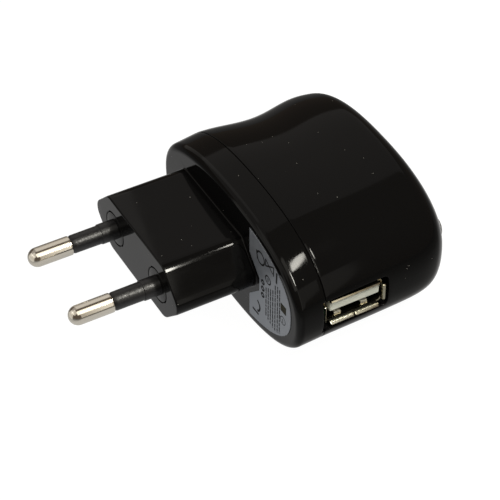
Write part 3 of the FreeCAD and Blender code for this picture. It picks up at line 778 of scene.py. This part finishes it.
def shell_leg(sheet, x, y):
    """Flat solder leg below the shell, with a pointed foot."""
    end = y + LEG_WIDTH
    low = -(USB_HALF_Z + USB_SHEET) - LEG_LENGTH
    outline = [
        (y, -USB_HALF_Z), (end, -USB_HALF_Z), (end, low + 0.5),
        (end - 0.5, low), (y + 0.5, low), (y, low + 0.5)]
    sheet.solid([sheet.ring([(x + side * USB_SHEET / 2, a, b) for a, b in outline]) for side in (-1, 1)])


def usb_shell_sheet():
    """Folded steel shell: rounded tube, four curled lips and four legs."""
    sheet = Sheet()
    front = USB_MOUTH_Y + USB_FLARE + 0.6
    back = USB_MOUTH_Y + USB_DEPTH
    inner = tube_outline(0, USB_CORNER_R)
    outer = tube_outline(USB_SHEET, USB_CORNER_R + USB_SHEET)
    rings = []
    for outline, y in ((inner, back), (inner, front), (outer, front), (outer, back)):
        rings.append(sheet.ring([(USB_X + x, y, z) for x, z in outline]))
    sheet.chain(rings + [rings[0]])
    folded_lip(sheet, "x", 1, USB_HALF_Z, USB_HALF_X - 0.75, TOP_LIP_TURN)
    half = (USB_HALF_X - 0.8 - PORT_SLIT) / 2
    for side in (-1, 1):
        folded_lip(sheet, "x", -1, USB_HALF_Z, half, BOTTOM_LIP_TURN, side * (half + PORT_SLIT))
        folded_lip(sheet, "z", side, USB_HALF_X, USB_HALF_Z - 0.6, SIDE_LIP_TURN)
        for y in (USB_MOUTH_Y + 4.2, USB_MOUTH_Y + USB_DEPTH - 2.5):
            shell_leg(sheet, USB_X + side * (USB_HALF_X + USB_SHEET / 2), y)
    return sheet


def grip_springs_sheet():
    """Both of the shell's spring tongues, apart from it so that they miss its painted port shade and take a
    lighter steel, painted light that keeps them bright under the tongue.
    """
    sheet = Sheet()
    for side in (-1, 1):
        grip_spring(sheet, USB_X + side * SPRING_HALF_PITCH)
    return sheet


def soft_box(sheet, x0, x1, y0, y1, z0, z1, radius, nose_radius):
    """Block along Y with rounded long edges and a rounded nose at y0."""
    half_x = (x1 - x0) / 2
    half_z = (z1 - z0) / 2
    middle = ((x0 + x1) / 2, (z0 + z1) / 2)
    rings = []
    for inset, setback in rolled(nose_radius, 5):
        y = y0 + setback
        a = half_x - inset
        b = half_z - inset
        corners = [(a, b), (a, -b), (-a, -b), (-a, b)]
        outline = rounded_outline(corners, [max(radius - inset, 0.03)] * 4, 6)
        rings.append(sheet.ring([(middle[0] + x, y, middle[1] + z) for x, z in outline]))
    rings.append(sheet.ring([(sheet.points[i][0], y1, sheet.points[i][2]) for i in rings[-1]]))
    sheet.solid(rings)


def usb_tongue_sheet():
    """Insulating tongue and the block behind it."""
    sheet = Sheet()
    block_front = USB_MOUTH_Y + USB_DEPTH - USB_BLOCK_THICK
    soft_box(sheet, USB_X - TONGUE_HALF_WIDTH, USB_X + TONGUE_HALF_WIDTH,
             USB_MOUTH_Y + TONGUE_SETBACK, block_front + 0.2,
             TONGUE_TOP_Z - TONGUE_THICK, TONGUE_TOP_Z, 0.35, 0.28)
    soft_box(sheet, USB_X - USB_HALF_X + 0.02, USB_X + USB_HALF_X - 0.02,
             block_front, USB_MOUTH_Y + USB_DEPTH, -USB_HALF_Z + 0.02, USB_HALF_Z - 0.02, 0.4, 0.1)
    return sheet


# ---- label and its print ----

def label_outline():
    """Outline in (y, z): a superellipse, cut straight on the far side and round the block."""
    centre = case_size(FRONT_X, 0)[0]
    half_width = centre - LABEL_NEAR_Y
    cut = math.acos(((centre - LABEL_FAR_Y) / half_width) ** (SECTION_POWER / 2))
    outer = []
    steps = 60
    for i in range(steps + 1):
        angle = HALF_TURN - cut + 2 * cut * i / steps
        y = centre + half_width * signed_power(math.cos(angle), 2 / SECTION_POWER)
        z = LABEL_LIFT + LABEL_HALF_HEIGHT * signed_power(math.sin(angle), 2 / SECTION_POWER)
        outer.append((y, z))
    reach = PLUG_HALF_WIDTH + LABEL_GAP
    shift = LABEL_GAP * math.tan(math.radians(MITRE_ANGLE))
    tip = PLUG_HALF_HEIGHT - PLUG_CHAMFER + shift
    slope_y = PLUG_HALF_WIDTH - PLUG_CHAMFER + shift
    slope_z = PLUG_HALF_HEIGHT + LABEL_GAP
    cut_level = tip + (slope_z - tip) * (reach + LABEL_FAR_Y) / (reach - slope_y)
    return outer + [(LABEL_FAR_Y, -cut_level), (-reach, -tip), (-reach, tip), (LABEL_FAR_Y, cut_level)]


def label_sheet():
    sheet = Sheet()
    planes = (FRONT_X - LABEL_THICK, FRONT_X + LABEL_SINK)
    sheet.solid([sheet.ring([(x, y, z) for y, z in label_outline()]) for x in planes])
    return sheet


def printed_shape(sheet, outline):
    """Thin printed patch with the given (y, z) outline."""
    paper = FRONT_X - LABEL_THICK
    face = sheet.ring([(paper - PRINT_THICK, y, z) for y, z in outline])
    foot = sheet.ring([(paper + LABEL_SINK, y, z) for y, z in outline])
    sheet.bridge(face, foot)
    sheet.fill(face)


def printed_bar(sheet, start, end, width):
    """Straight printed stroke between two (y, z) points."""
    a = Vector(start)
    b = Vector(end)
    along = (b - a).normalized()
    side = Vector((-along.y, along.x)) * (width / 2)
    printed_shape(sheet, [tuple(a + side), tuple(b + side), tuple(b - side), tuple(a - side)])


def printed_arc(sheet, centre, radius, start, end, width, steps=20):
    """Printed stroke along an arc, angles in degrees from +Y towards +Z."""
    points = arc_profile(*centre, radius, start, end, steps)
    for first, second in zip(points, points[1:]):
        printed_bar(sheet, first, second, width)


def text_like_column(sheet, y, z_start, z_end, width, seed):
    """A column of short dashes of uneven length that stands for a line of small print."""
    z = z_start
    count = 0
    while z > z_end:
        length = 0.35 + 0.9 * abs(math.sin(seed * 7.3 + count * 2.17))
        gap = 0.12 + 0.14 * abs(math.sin(seed * 3.1 + count * 5.71))
        stop = max(z - length, z_end)
        if z - stop > 0.1:
            printed_bar(sheet, (y, z), (y, stop), width)
        z = stop - gap
        count += 1


def label_print_sheet():
    """Print with no letters: bars, rings, diamonds, an arc and dashes in place of the marks."""
    sheet = Sheet()
    thick = 0.42
    thin = 0.34
    printed_arc(sheet, (-19.3, 7.3), 1.45, 20, 340, thick)
    printed_bar(sheet, (-17.7, 8.3), (-18.1, 6.2), thick)
    printed_bar(sheet, (-21.2, 8.7), (-24.0, 6.9), thin)
    printed_bar(sheet, (-21.2, 6.9), (-24.0, 8.7), thin)
    printed_bar(sheet, (-21.2, 6.9), (-21.2, 8.7), thin)
    printed_bar(sheet, (-24.3, 9.0), (-24.3, 6.6), thin)
    printed_bar(sheet, (-25.5, 8.4), (-25.4, 5.6), 0.55)
    printed_arc(sheet, (-22.2, 3.9), 0.95, 0, 360, thin)
    printed_bar(sheet, (-22.2, 4.4), (-22.2, 3.4), thin)
    for level in (1.7, 0.0, -1.7):
        printed_arc(sheet, (-20.2, level), 0.6, 0, 360, thick, 4)
    printed_arc(sheet, (-17.6, -6.3), 1.5, 110, 250, 0.5)
    printed_bar(sheet, (-18.6, -8.4), (-16.2, -8.4), 0.5)
    columns = ((-21.5, 1.4, -6.2), (-22.35, 1.9, -6.6), (-23.2, 2.3, -6.9), (-24.1, 2.8, -7.3),
               (-25.0, 4.8, -7.3), (-25.9, 5.2, -7.0), (-26.7, 5.0, -6.6))
    for seed, (y, top, bottom) in enumerate(columns):
        text_like_column(sheet, y, top, bottom, thin, seed + 1)
    printed_arc(sheet, (-28.0, -2.0), 0.95, 0, 360, 0.18, 28)
    printed_bar(sheet, (-28.0, -1.5), (-28.0, -2.6), 0.2)
    return sheet


def label_patch_sheet():
    """Dark olive square printed near the label's near edge."""
    sheet = Sheet()
    corners = [(-27.1, 2.2), (-29.2, 2.2), (-29.2, 0.2), (-27.1, 0.2)]
    printed_shape(sheet, rounded_outline(corners, [0.12] * 4, 3))
    return sheet


# ---- finishes ----

class Finish:
    """A node material under construction."""

    def __init__(self, name, colour, roughness, metallic=0.0, **sockets):
        self.material = bpy.data.materials.new(name)
        self.material.use_nodes = True
        self.tree = self.material.node_tree
        self.shader = self.tree.nodes["Principled BSDF"]
        self.feed(self.shader, Base_Color=(*colour, 1.0), Roughness=roughness, Metallic=metallic, **sockets)
        self.place = self.tree.nodes.new("ShaderNodeTexCoord").outputs["Object"]

    def feed(self, node, **values):
        """Links each value that is another node's output to the socket it names, and sets the rest."""
        for name, value in values.items():
            socket = node.inputs[name.replace("_", " ")]
            if isinstance(value, bpy.types.NodeSocket):
                self.tree.links.new(value, socket)
            else:
                socket.default_value = value

    def add(self, kind, **values):
        node = self.tree.nodes.new("ShaderNode" + kind)
        self.feed(node, **values)
        return node

    def stretched(self, scale):
        return self.add("Mapping", Vector=self.place, Scale=scale).outputs["Vector"]

    def noise(self, scale, detail=3.0, rough=0.5, vector=None):
        vector = vector or self.place
        node = self.add("TexNoise", Vector=vector, Scale=scale, Detail=detail, Roughness=rough)
        return node.outputs["Fac"]

    def distance_from(self, point):
        node = self.add("VectorMath", Vector=self.place)
        node.operation = "DISTANCE"
        node.inputs[1].default_value = point
        return node.outputs["Value"]

    def along(self, axis):
        return self.add("SeparateXYZ", Vector=self.place).outputs[axis]

    def product(self, first, second):
        node = self.add("Math", Value=first)
        node.operation = "MULTIPLY"
        self.tree.links.new(second, node.inputs[1])
        return node.outputs["Value"]

    def cells(self, scale, feature="F1"):
        node = self.add("TexVoronoi", Vector=self.place, Scale=scale)
        node.feature = feature
        return node.outputs["Distance"]

    def spread(self, source, low, high, out_low, out_high):
        """Maps source from low..high to out_low..out_high, held at both ends."""
        node = self.add("MapRange", Value=source, From_Min=low, From_Max=high)
        self.feed(node, To_Min=out_low, To_Max=out_high)
        return node.outputs["Result"]

    def paint(self, source, *stops):
        """Colours by a ramp over source. Each stop is (position, (red, green, blue))."""
        node = self.add("ValToRGB", Fac=source)
        ramp = node.color_ramp
        for i, (position, colour) in enumerate(stops):
            element = ramp.elements[i] if i < 2 else ramp.elements.new(position)
            element.position = position
            element.color = (*colour, 1.0)
        self.feed(self.shader, Base_Color=node.outputs["Color"])

    def roughen(self, source, smooth, rough, low=0.3):
        self.feed(self.shader, Roughness=self.spread(source, low, low + 0.4, smooth, rough))

    def bump(self, source, strength, distance):
        node = self.add("Bump", Height=source, Strength=strength, Distance=distance * MM)
        self.feed(self.shader, Normal=node.outputs["Normal"])


def gloss_black():
    """Polished black case plastic with faint wipe marks and a few dust specks."""
    black = (0.0035, 0.0035, 0.0036)
    finish = Finish("gloss_black", black, 0.1, Specular_IOR_Level=0.14)
    wipes = finish.noise(55, 4, 0.6, finish.stretched((1.0, 3.0, 1.0)))
    finish.roughen(wipes, 0.05, 0.11, low=0.35)
    dust = finish.cells(420)
    finish.paint(dust, (0.034, (0.17, 0.165, 0.155)), (0.040, black))
    finish.bump(finish.noise(260, 2, 0.4), 0.04, 0.02)
    return finish.material


def plug_face_black():
    """Black plastic of the pin inserts, a little duller than the case."""
    finish = Finish("insert_black", (0.004, 0.004, 0.004), 0.2, Specular_IOR_Level=0.14)
    finish.roughen(finish.noise(420, 3), 0.14, 0.26)
    finish.bump(finish.noise(900, 2), 0.08, 0.02)
    return finish.material


def satin_black():
    """Sleeve plastic: satin, with the fine sparkle of a spark-eroded mould."""
    finish = Finish("sleeve_black", (0.006, 0.006, 0.007), 0.38)
    grain = finish.cells(2600)
    finish.bump(grain, 0.35, 0.05)
    finish.roughen(finish.noise(1500, 2), 0.3, 0.46)
    return finish.material


def nickel():
    """Plated pin, drawn along its length."""
    finish = Finish("pin_nickel", (0.72, 0.68, 0.60), 0.16, 1.0)
    lines = finish.noise(90, 2, 0.5, finish.stretched((0.12, 6.0, 6.0)))
    finish.roughen(lines, 0.13, 0.19)
    finish.paint(lines, (0.25, (0.68, 0.63, 0.54)), (0.75, (0.76, 0.72, 0.64)))
    finish.bump(lines, 0.01, 0.002)
    return finish.material


def silver_label():
    """Coated silver-grey label stock."""
    finish = Finish("label_silver", (0.30, 0.31, 0.33), 0.42, 0.35)
    fibre = finish.noise(700, 4, 0.6)
    finish.paint(fibre, (0.3, (0.25, 0.275, 0.315)), (0.7, (0.31, 0.335, 0.375)))
    finish.roughen(fibre, 0.36, 0.5)
    finish.bump(fibre, 0.08, 0.01)
    return finish.material


def label_ink():
    finish = Finish("label_ink", (0.012, 0.012, 0.014), 0.6, Specular_IOR_Level=0.1)
    grain = finish.noise(2200, 2)
    finish.paint(grain, (0.3, (0.008, 0.008, 0.01)), (0.8, (0.03, 0.03, 0.032)))
    return finish.material


def olive_ink():
    finish = Finish("olive_ink", (0.03, 0.03, 0.015), 0.6, Specular_IOR_Level=0.1)
    grain = finish.cells(1800)
    finish.paint(grain, (0.1, (0.045, 0.042, 0.02)), (0.7, (0.012, 0.012, 0.008)))
    return finish.material


def painted_port_shade(finish):
    """Painted shade: one at the mouth of the USB port, falling away quickly inside it, where the port's
    shade falls.
    """
    start = (USB_MOUTH_Y + PORT_LIT_DEPTH) * MM
    return finish.spread(finish.along("Y"), start, start + PORT_FADE_DEPTH * MM, 1.0, PORT_SHADE)


def usb_steel():
    """Nickel-plated sheet steel with rolling marks and a warm tarnish, with painted shade darkening it
    inside the port.
    """
    finish = Finish("usb_steel", (0.66, 0.64, 0.52), 0.22, 1.0)
    rolling = finish.noise(260, 2, 0.5)
    finish.roughen(rolling, 0.19, 0.25)
    # Tarnish noise times the painted port shade: the darkest stop is painted shade deep in the port.
    tarnish_and_painted_shade = finish.product(finish.noise(160, 3, 0.6), painted_port_shade(finish))
    tarnish = (0.50, 0.44, 0.30)
    bright = (0.72, 0.71, 0.59)
    finish.paint(tarnish_and_painted_shade, (0.1, (0.06, 0.045, 0.02)), (0.35, tarnish), (0.6, bright))
    return finish.material


def tongue_plastic():
    """Pale grey-green moulded insulator, with painted shade darkening it deep in the port."""
    finish = Finish("tongue_white", (0.72, 0.75, 0.68), 0.4, Subsurface_Weight=0.06)
    finish.feed(finish.shader, Subsurface_Radius=(0.0006, 0.0006, 0.0005))
    grain = finish.noise(500, 3)
    # Grain times the painted port shade: the darkest stop is painted shade deep in the port.
    grain_and_painted_shade = finish.product(grain, painted_port_shade(finish))
    pale = (0.68, 0.71, 0.64)
    finish.paint(grain_and_painted_shade, (0.1, (0.03, 0.03, 0.027)), (0.3, pale), (0.7, (0.76, 0.79, 0.71)))
    finish.bump(grain, 0.08, 0.02)
    return finish.material


def smoke_lens():
    """Clear light pipe, greyed by the dark case behind it."""
    finish = Finish("lens_smoke", (0.42, 0.43, 0.44), 0.08, Transmission_Weight=0.55, IOR=1.49)
    cloud = finish.noise(600, 2)
    finish.roughen(cloud, 0.05, 0.14)
    finish.bump(cloud, 0.03, 0.01)
    return finish.material


def grained(finish, colour, roughness, grain_scale, contrast, swing, bump):
    """Duller and rougher by turns over a fine grain."""
    grain = finish.noise(grain_scale, 3)
    finish.roughen(grain, roughness * (1 - swing), roughness * (1 + swing))
    dull = tuple(value * contrast for value in colour)
    finish.paint(grain, (0.3, dull), (0.7, colour))
    finish.bump(grain, *bump)
    return finish.material


def metal(name, colour, roughness, grain_scale):
    finish = Finish(name, colour, roughness, 1.0)
    return grained(finish, colour, roughness, grain_scale, 0.78, 0.3, (0.1, 0.02))


def moulding(name, colour, roughness, grain_scale, contrast=0.8):
    finish = Finish(name, colour, roughness)
    return grained(finish, colour, roughness, grain_scale, contrast, 0.2, (0.15, 0.03))


def banded(name, axis_scale, dark, light, roughness, metallic=0.0):
    """Finish with fine bands, as of turns of wire or tape edges."""
    finish = Finish(name, light, roughness, metallic)
    wave = finish.add("TexWave", Vector=finish.stretched(axis_scale), Scale=900, Distortion=0.6)
    bands = wave.outputs["Fac"]
    finish.paint(bands, (0.1, dark), (0.8, light))
    finish.bump(bands, 0.4, 0.08)
    return finish.material


def board_green():
    """Solder mask over copper, with the glass weave faintly showing."""
    finish = Finish("board_green", (0.02, 0.12, 0.05), 0.35)
    tracks = finish.cells(220, "DISTANCE_TO_EDGE")
    finish.paint(tracks, (0.02, (0.012, 0.075, 0.03)), (0.06, (0.03, 0.16, 0.07)))
    finish.bump(tracks, 0.2, 0.03)
    return finish.material


INNER_FINISHES = {
    "usb_contacts": metal("contact_gold", (0.83, 0.62, 0.28), 0.22, 900),
    "transformer_core": moulding("ferrite", (0.035, 0.035, 0.038), 0.6, 1500, 0.6),
    "transformer_bobbin": moulding("bobbin_black", (0.012, 0.012, 0.012), 0.4, 700),
    "transformer_winding": banded(
        "copper_wire", (1, 0, 0), (0.30, 0.11, 0.04), (0.72, 0.32, 0.14), 0.3, 1.0),
    "transformer_tape": banded(
        "tape_yellow", (0.3, 0, 0.3), (0.62, 0.46, 0.06), (0.78, 0.62, 0.12), 0.35),
    "transformer_pins": metal("tinned_wire", (0.62, 0.62, 0.60), 0.3, 900),
    "input_capacitor": metal("can_dark", (0.10, 0.10, 0.12), 0.35, 600),
    "output_capacitor": metal("can_dark_small", (0.10, 0.10, 0.12), 0.35, 600),
    "fuse_resistor": moulding("resistor_blue", (0.10, 0.25, 0.38), 0.4, 500, 0.7),
    "rectifier_diodes": moulding("moulded_black", (0.012, 0.012, 0.013), 0.45, 900),
    "output_diode": moulding("diode_black", (0.012, 0.012, 0.013), 0.45, 900),
    "switching_transistor": moulding("transistor_black", (0.014, 0.014, 0.015), 0.5, 900),
    "optocoupler": moulding("coupler_black", (0.016, 0.016, 0.016), 0.5, 900),
    "safety_capacitor": moulding("disc_blue", (0.04, 0.14, 0.36), 0.4, 600, 0.75),
    "input_choke": banded("choke_drum", (0, 0, 1), (0.03, 0.022, 0.018), (0.22, 0.10, 0.05), 0.4),
    "chip_parts": moulding("chip_grey", (0.08, 0.075, 0.07), 0.4, 900, 0.6),
    "status_led": moulding("led_clear", (0.55, 0.56, 0.55), 0.15, 400, 0.9),
    "pin_contact_near": metal("strip_brass", (0.78, 0.60, 0.30), 0.28, 500),
    "pin_contact_far": metal("strip_brass_far", (0.78, 0.60, 0.30), 0.28, 500),
    "circuit_board": board_green(),
}


def finish_inner_parts():
    for name, material in INNER_FINISHES.items():
        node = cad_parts[name]
        if not node.material_slots:
            node.data.materials.append(material)
        for material_slot in node.material_slots:
            material_slot.material = material


# ---- room ----

CREAM = (1.0, 0.97, 0.88)
WHITE_SHEET_R = 0.055
WHITE_SHEET_END_R = 0.1
NEAR_FLOOR_GLOW = 0.5
FAR_FLOOR_GLOW = 0.1
SHADE_START_X = 0.004
SHADE_END_X = 0.018
SHADE_START_Y = -0.025
SHADE_END_Y = -0.032
SHADE_LEFT = 0.4
MIRROR_DRIFT = 0.384
FLOOR_HALF_SIZE = 4.0
FLOOR_DROP = 0.00002


def floor():
    """White to the camera. Other rays see a sheet that glows round the object and fades out."""
    size = FLOOR_HALF_SIZE
    drop = cad_low.z - FLOOR_DROP
    mesh = bpy.data.meshes.new("floor")
    corners = [(-size, -size, drop), (size, -size, drop), (size, size, drop), (-size, size, drop)]
    mesh.from_pydata(corners, [], [(0, 1, 2, 3)])
    finish = Finish("floor_white", (0.1, 0.1, 0.1), 0.9, Emission_Color=(1.0, 1.0, 1.0, 1.0))
    near = finish.spread(finish.distance_from(CAMERA_AIM), WHITE_SHEET_R, WHITE_SHEET_END_R, 1.0, 0.0)
    glow = finish.spread(near, 0.0, 1.0, FAR_FLOOR_GLOW, NEAR_FLOOR_GLOW)
    shaded_x = finish.spread(finish.along("X"), SHADE_START_X, SHADE_END_X, 0.0, 1.0)
    shaded_y = finish.spread(finish.along("Y"), SHADE_START_Y, SHADE_END_Y, 0.0, 1.0)
    shade = finish.spread(finish.product(shaded_x, shaded_y), 0.0, 1.0, 1.0, SHADE_LEFT)
    to_camera = finish.add("LightPath").outputs["Is Camera Ray"]
    mix = finish.add("Mix", Factor=to_camera, A=finish.product(glow, shade), B=0.98)
    finish.feed(finish.shader, Emission_Strength=mix.outputs["Result"])
    mesh.materials.append(finish.material)
    plane = bpy.data.objects.new("floor", mesh)
    bpy.context.scene.collection.objects.link(plane)


def area_light(name, shape, size, size_y, radiance, colour, place, turn):
    data = bpy.data.lights.new(name, "AREA")
    data.shape = shape
    data.size = size
    data.size_y = size_y
    data.energy = radiance * HALF_TURN * size * size_y
    data.color = colour
    light = bpy.data.objects.new(name, data)
    light.location = place
    light.rotation_euler = turn
    light.visible_camera = False
    bpy.context.scene.collection.objects.link(light)


def strip_light(name, x_range, angles, distance, radiance, colour, shape="RECTANGLE"):
    """Light along X, placed by what it lights up in surfaces that run along X.

    The camera sees it mirrored between the two x_range values, in millimetres, in such a surface
    on the X axis, and further along X in one that lies nearer the light. The angles say where it
    stands about the X axis, in degrees up from the near side's horizon.
    """
    low, high = [math.radians(angle) for angle in angles]
    middle = (low + high) / 2
    length = (x_range[1] - x_range[0]) * MM
    height = 2 * distance * math.tan((high - low) / 2)
    centre_x = (x_range[0] + x_range[1]) / 2 * MM + MIRROR_DRIFT * distance
    place = (centre_x, -math.cos(middle) * distance, math.sin(middle) * distance)
    turn = (HALF_TURN / 2 - middle, 0.0, 0.0)
    area_light(name, shape, length, height, radiance, colour, place, turn)


def tip_card(name, place, turn, size, size_y):
    """Pale card beyond the pins, mirrored in their round tips and turned about Y to face them."""
    colour = (1.0, 0.98, 0.92)
    area_light(name, "RECTANGLE", size, size_y, 0.6, colour, place, (0.0, math.radians(turn), 0.0))


def room():
    """Room that is white to the camera and dim to other rays, with lamps and soft panels in it."""
    world = bpy.data.worlds.new("room")
    world.use_nodes = True
    tree = world.node_tree
    rays = tree.nodes.new("ShaderNodeLightPath")
    mix = tree.nodes.new("ShaderNodeMixRGB")
    tree.links.new(rays.outputs["Is Camera Ray"], mix.inputs["Fac"])
    mix.inputs["Color1"].default_value = (0.12, 0.095, 0.075, 1.0)
    mix.inputs["Color2"].default_value = (0.97, 0.97, 0.97, 1.0)
    tree.links.new(mix.outputs["Color"], tree.nodes["Background"].inputs["Color"])
    bpy.context.scene.world = world
    bpy.context.scene.view_settings.view_transform = "Standard"
    strip_light("key", (-19.0, -9.0), (45.0, 66.0), 0.15, 80.0, CREAM, "ELLIPSE")
    strip_light("spot", (7.0, 12.0), (62.0, 74.0), 0.15, 40.0, CREAM, "ELLIPSE")
    strip_light("pin_light", (-200.0, -12.5), (41.0, 83.0), 0.25, 1.6, CREAM)
    strip_light("pin_panel", (-60.0, -12.5), (0.0, 40.0), 0.25, 0.5, CREAM)
    strip_light("near_panel", (-40.0, 40.0), (2.0, 40.0), 0.22, 0.55, (1.0, 0.97, 0.90))
    strip_light("far_panel", (-1200.0, 300.0), (107.0, 152.0), 0.50, 0.30, (1.0, 0.98, 0.96))
    strip_light("far_card", (-60.0, -6.0), (108.0, 172.0), 0.12, 0.35, (1.0, 0.98, 0.93))
    tip_card("left_card", (-0.060, 0.022, 0.012), -90.0, 0.06, 0.075)
    tip_card("upper_left_card", (-0.075, -0.005, 0.072), -39.0, 0.07, 0.09)


# ---- everything ----

def build():
    case = gloss_black()
    make_piece("case_front", front_cover_sheet(), case, ["front_cover"], weighted=True)
    make_piece("case_rear", rear_cover_sheet(), case, ["rear_cover"])
    plating = nickel()
    sleeve = satin_black()
    insert = plug_face_black()
    for side, name in ((-1, "near"), (1, "far")):
        y = side * PIN_HALF_PITCH
        make_piece("prong_" + name, pin_sheet(y), plating, ["pin_" + name])
        make_piece("sleeve_" + name, sleeve_sheet(y), sleeve, ["pin_sleeve_" + name])
        make_piece("insert_" + name, insert_sheet(y), insert, ["plug_insert_" + name])
    make_piece("port_shell", usb_shell_sheet(), usb_steel(), ["usb_shell"])
    # Painted light: the springs get a lighter copy of the shell's steel, outside the painted port shade, so
    # they stay bright under the tongue.
    painted_light_spring_steel = metal("spring_steel", (0.86, 0.84, 0.74), 0.5, 400)
    make_piece("port_springs", grip_springs_sheet(), painted_light_spring_steel)
    make_piece("port_tongue", usb_tongue_sheet(), tongue_plastic(), ["usb_tongue"])
    make_piece("label", label_sheet(), silver_label(), ["rating_label"])
    make_piece("label_print", label_print_sheet(), label_ink())
    make_piece("label_patch", label_patch_sheet(), olive_ink())
    make_piece("lens", lens_sheet(), smoke_lens(), ["led_lens"])
    finish_inner_parts()
    floor()
    room()


build()
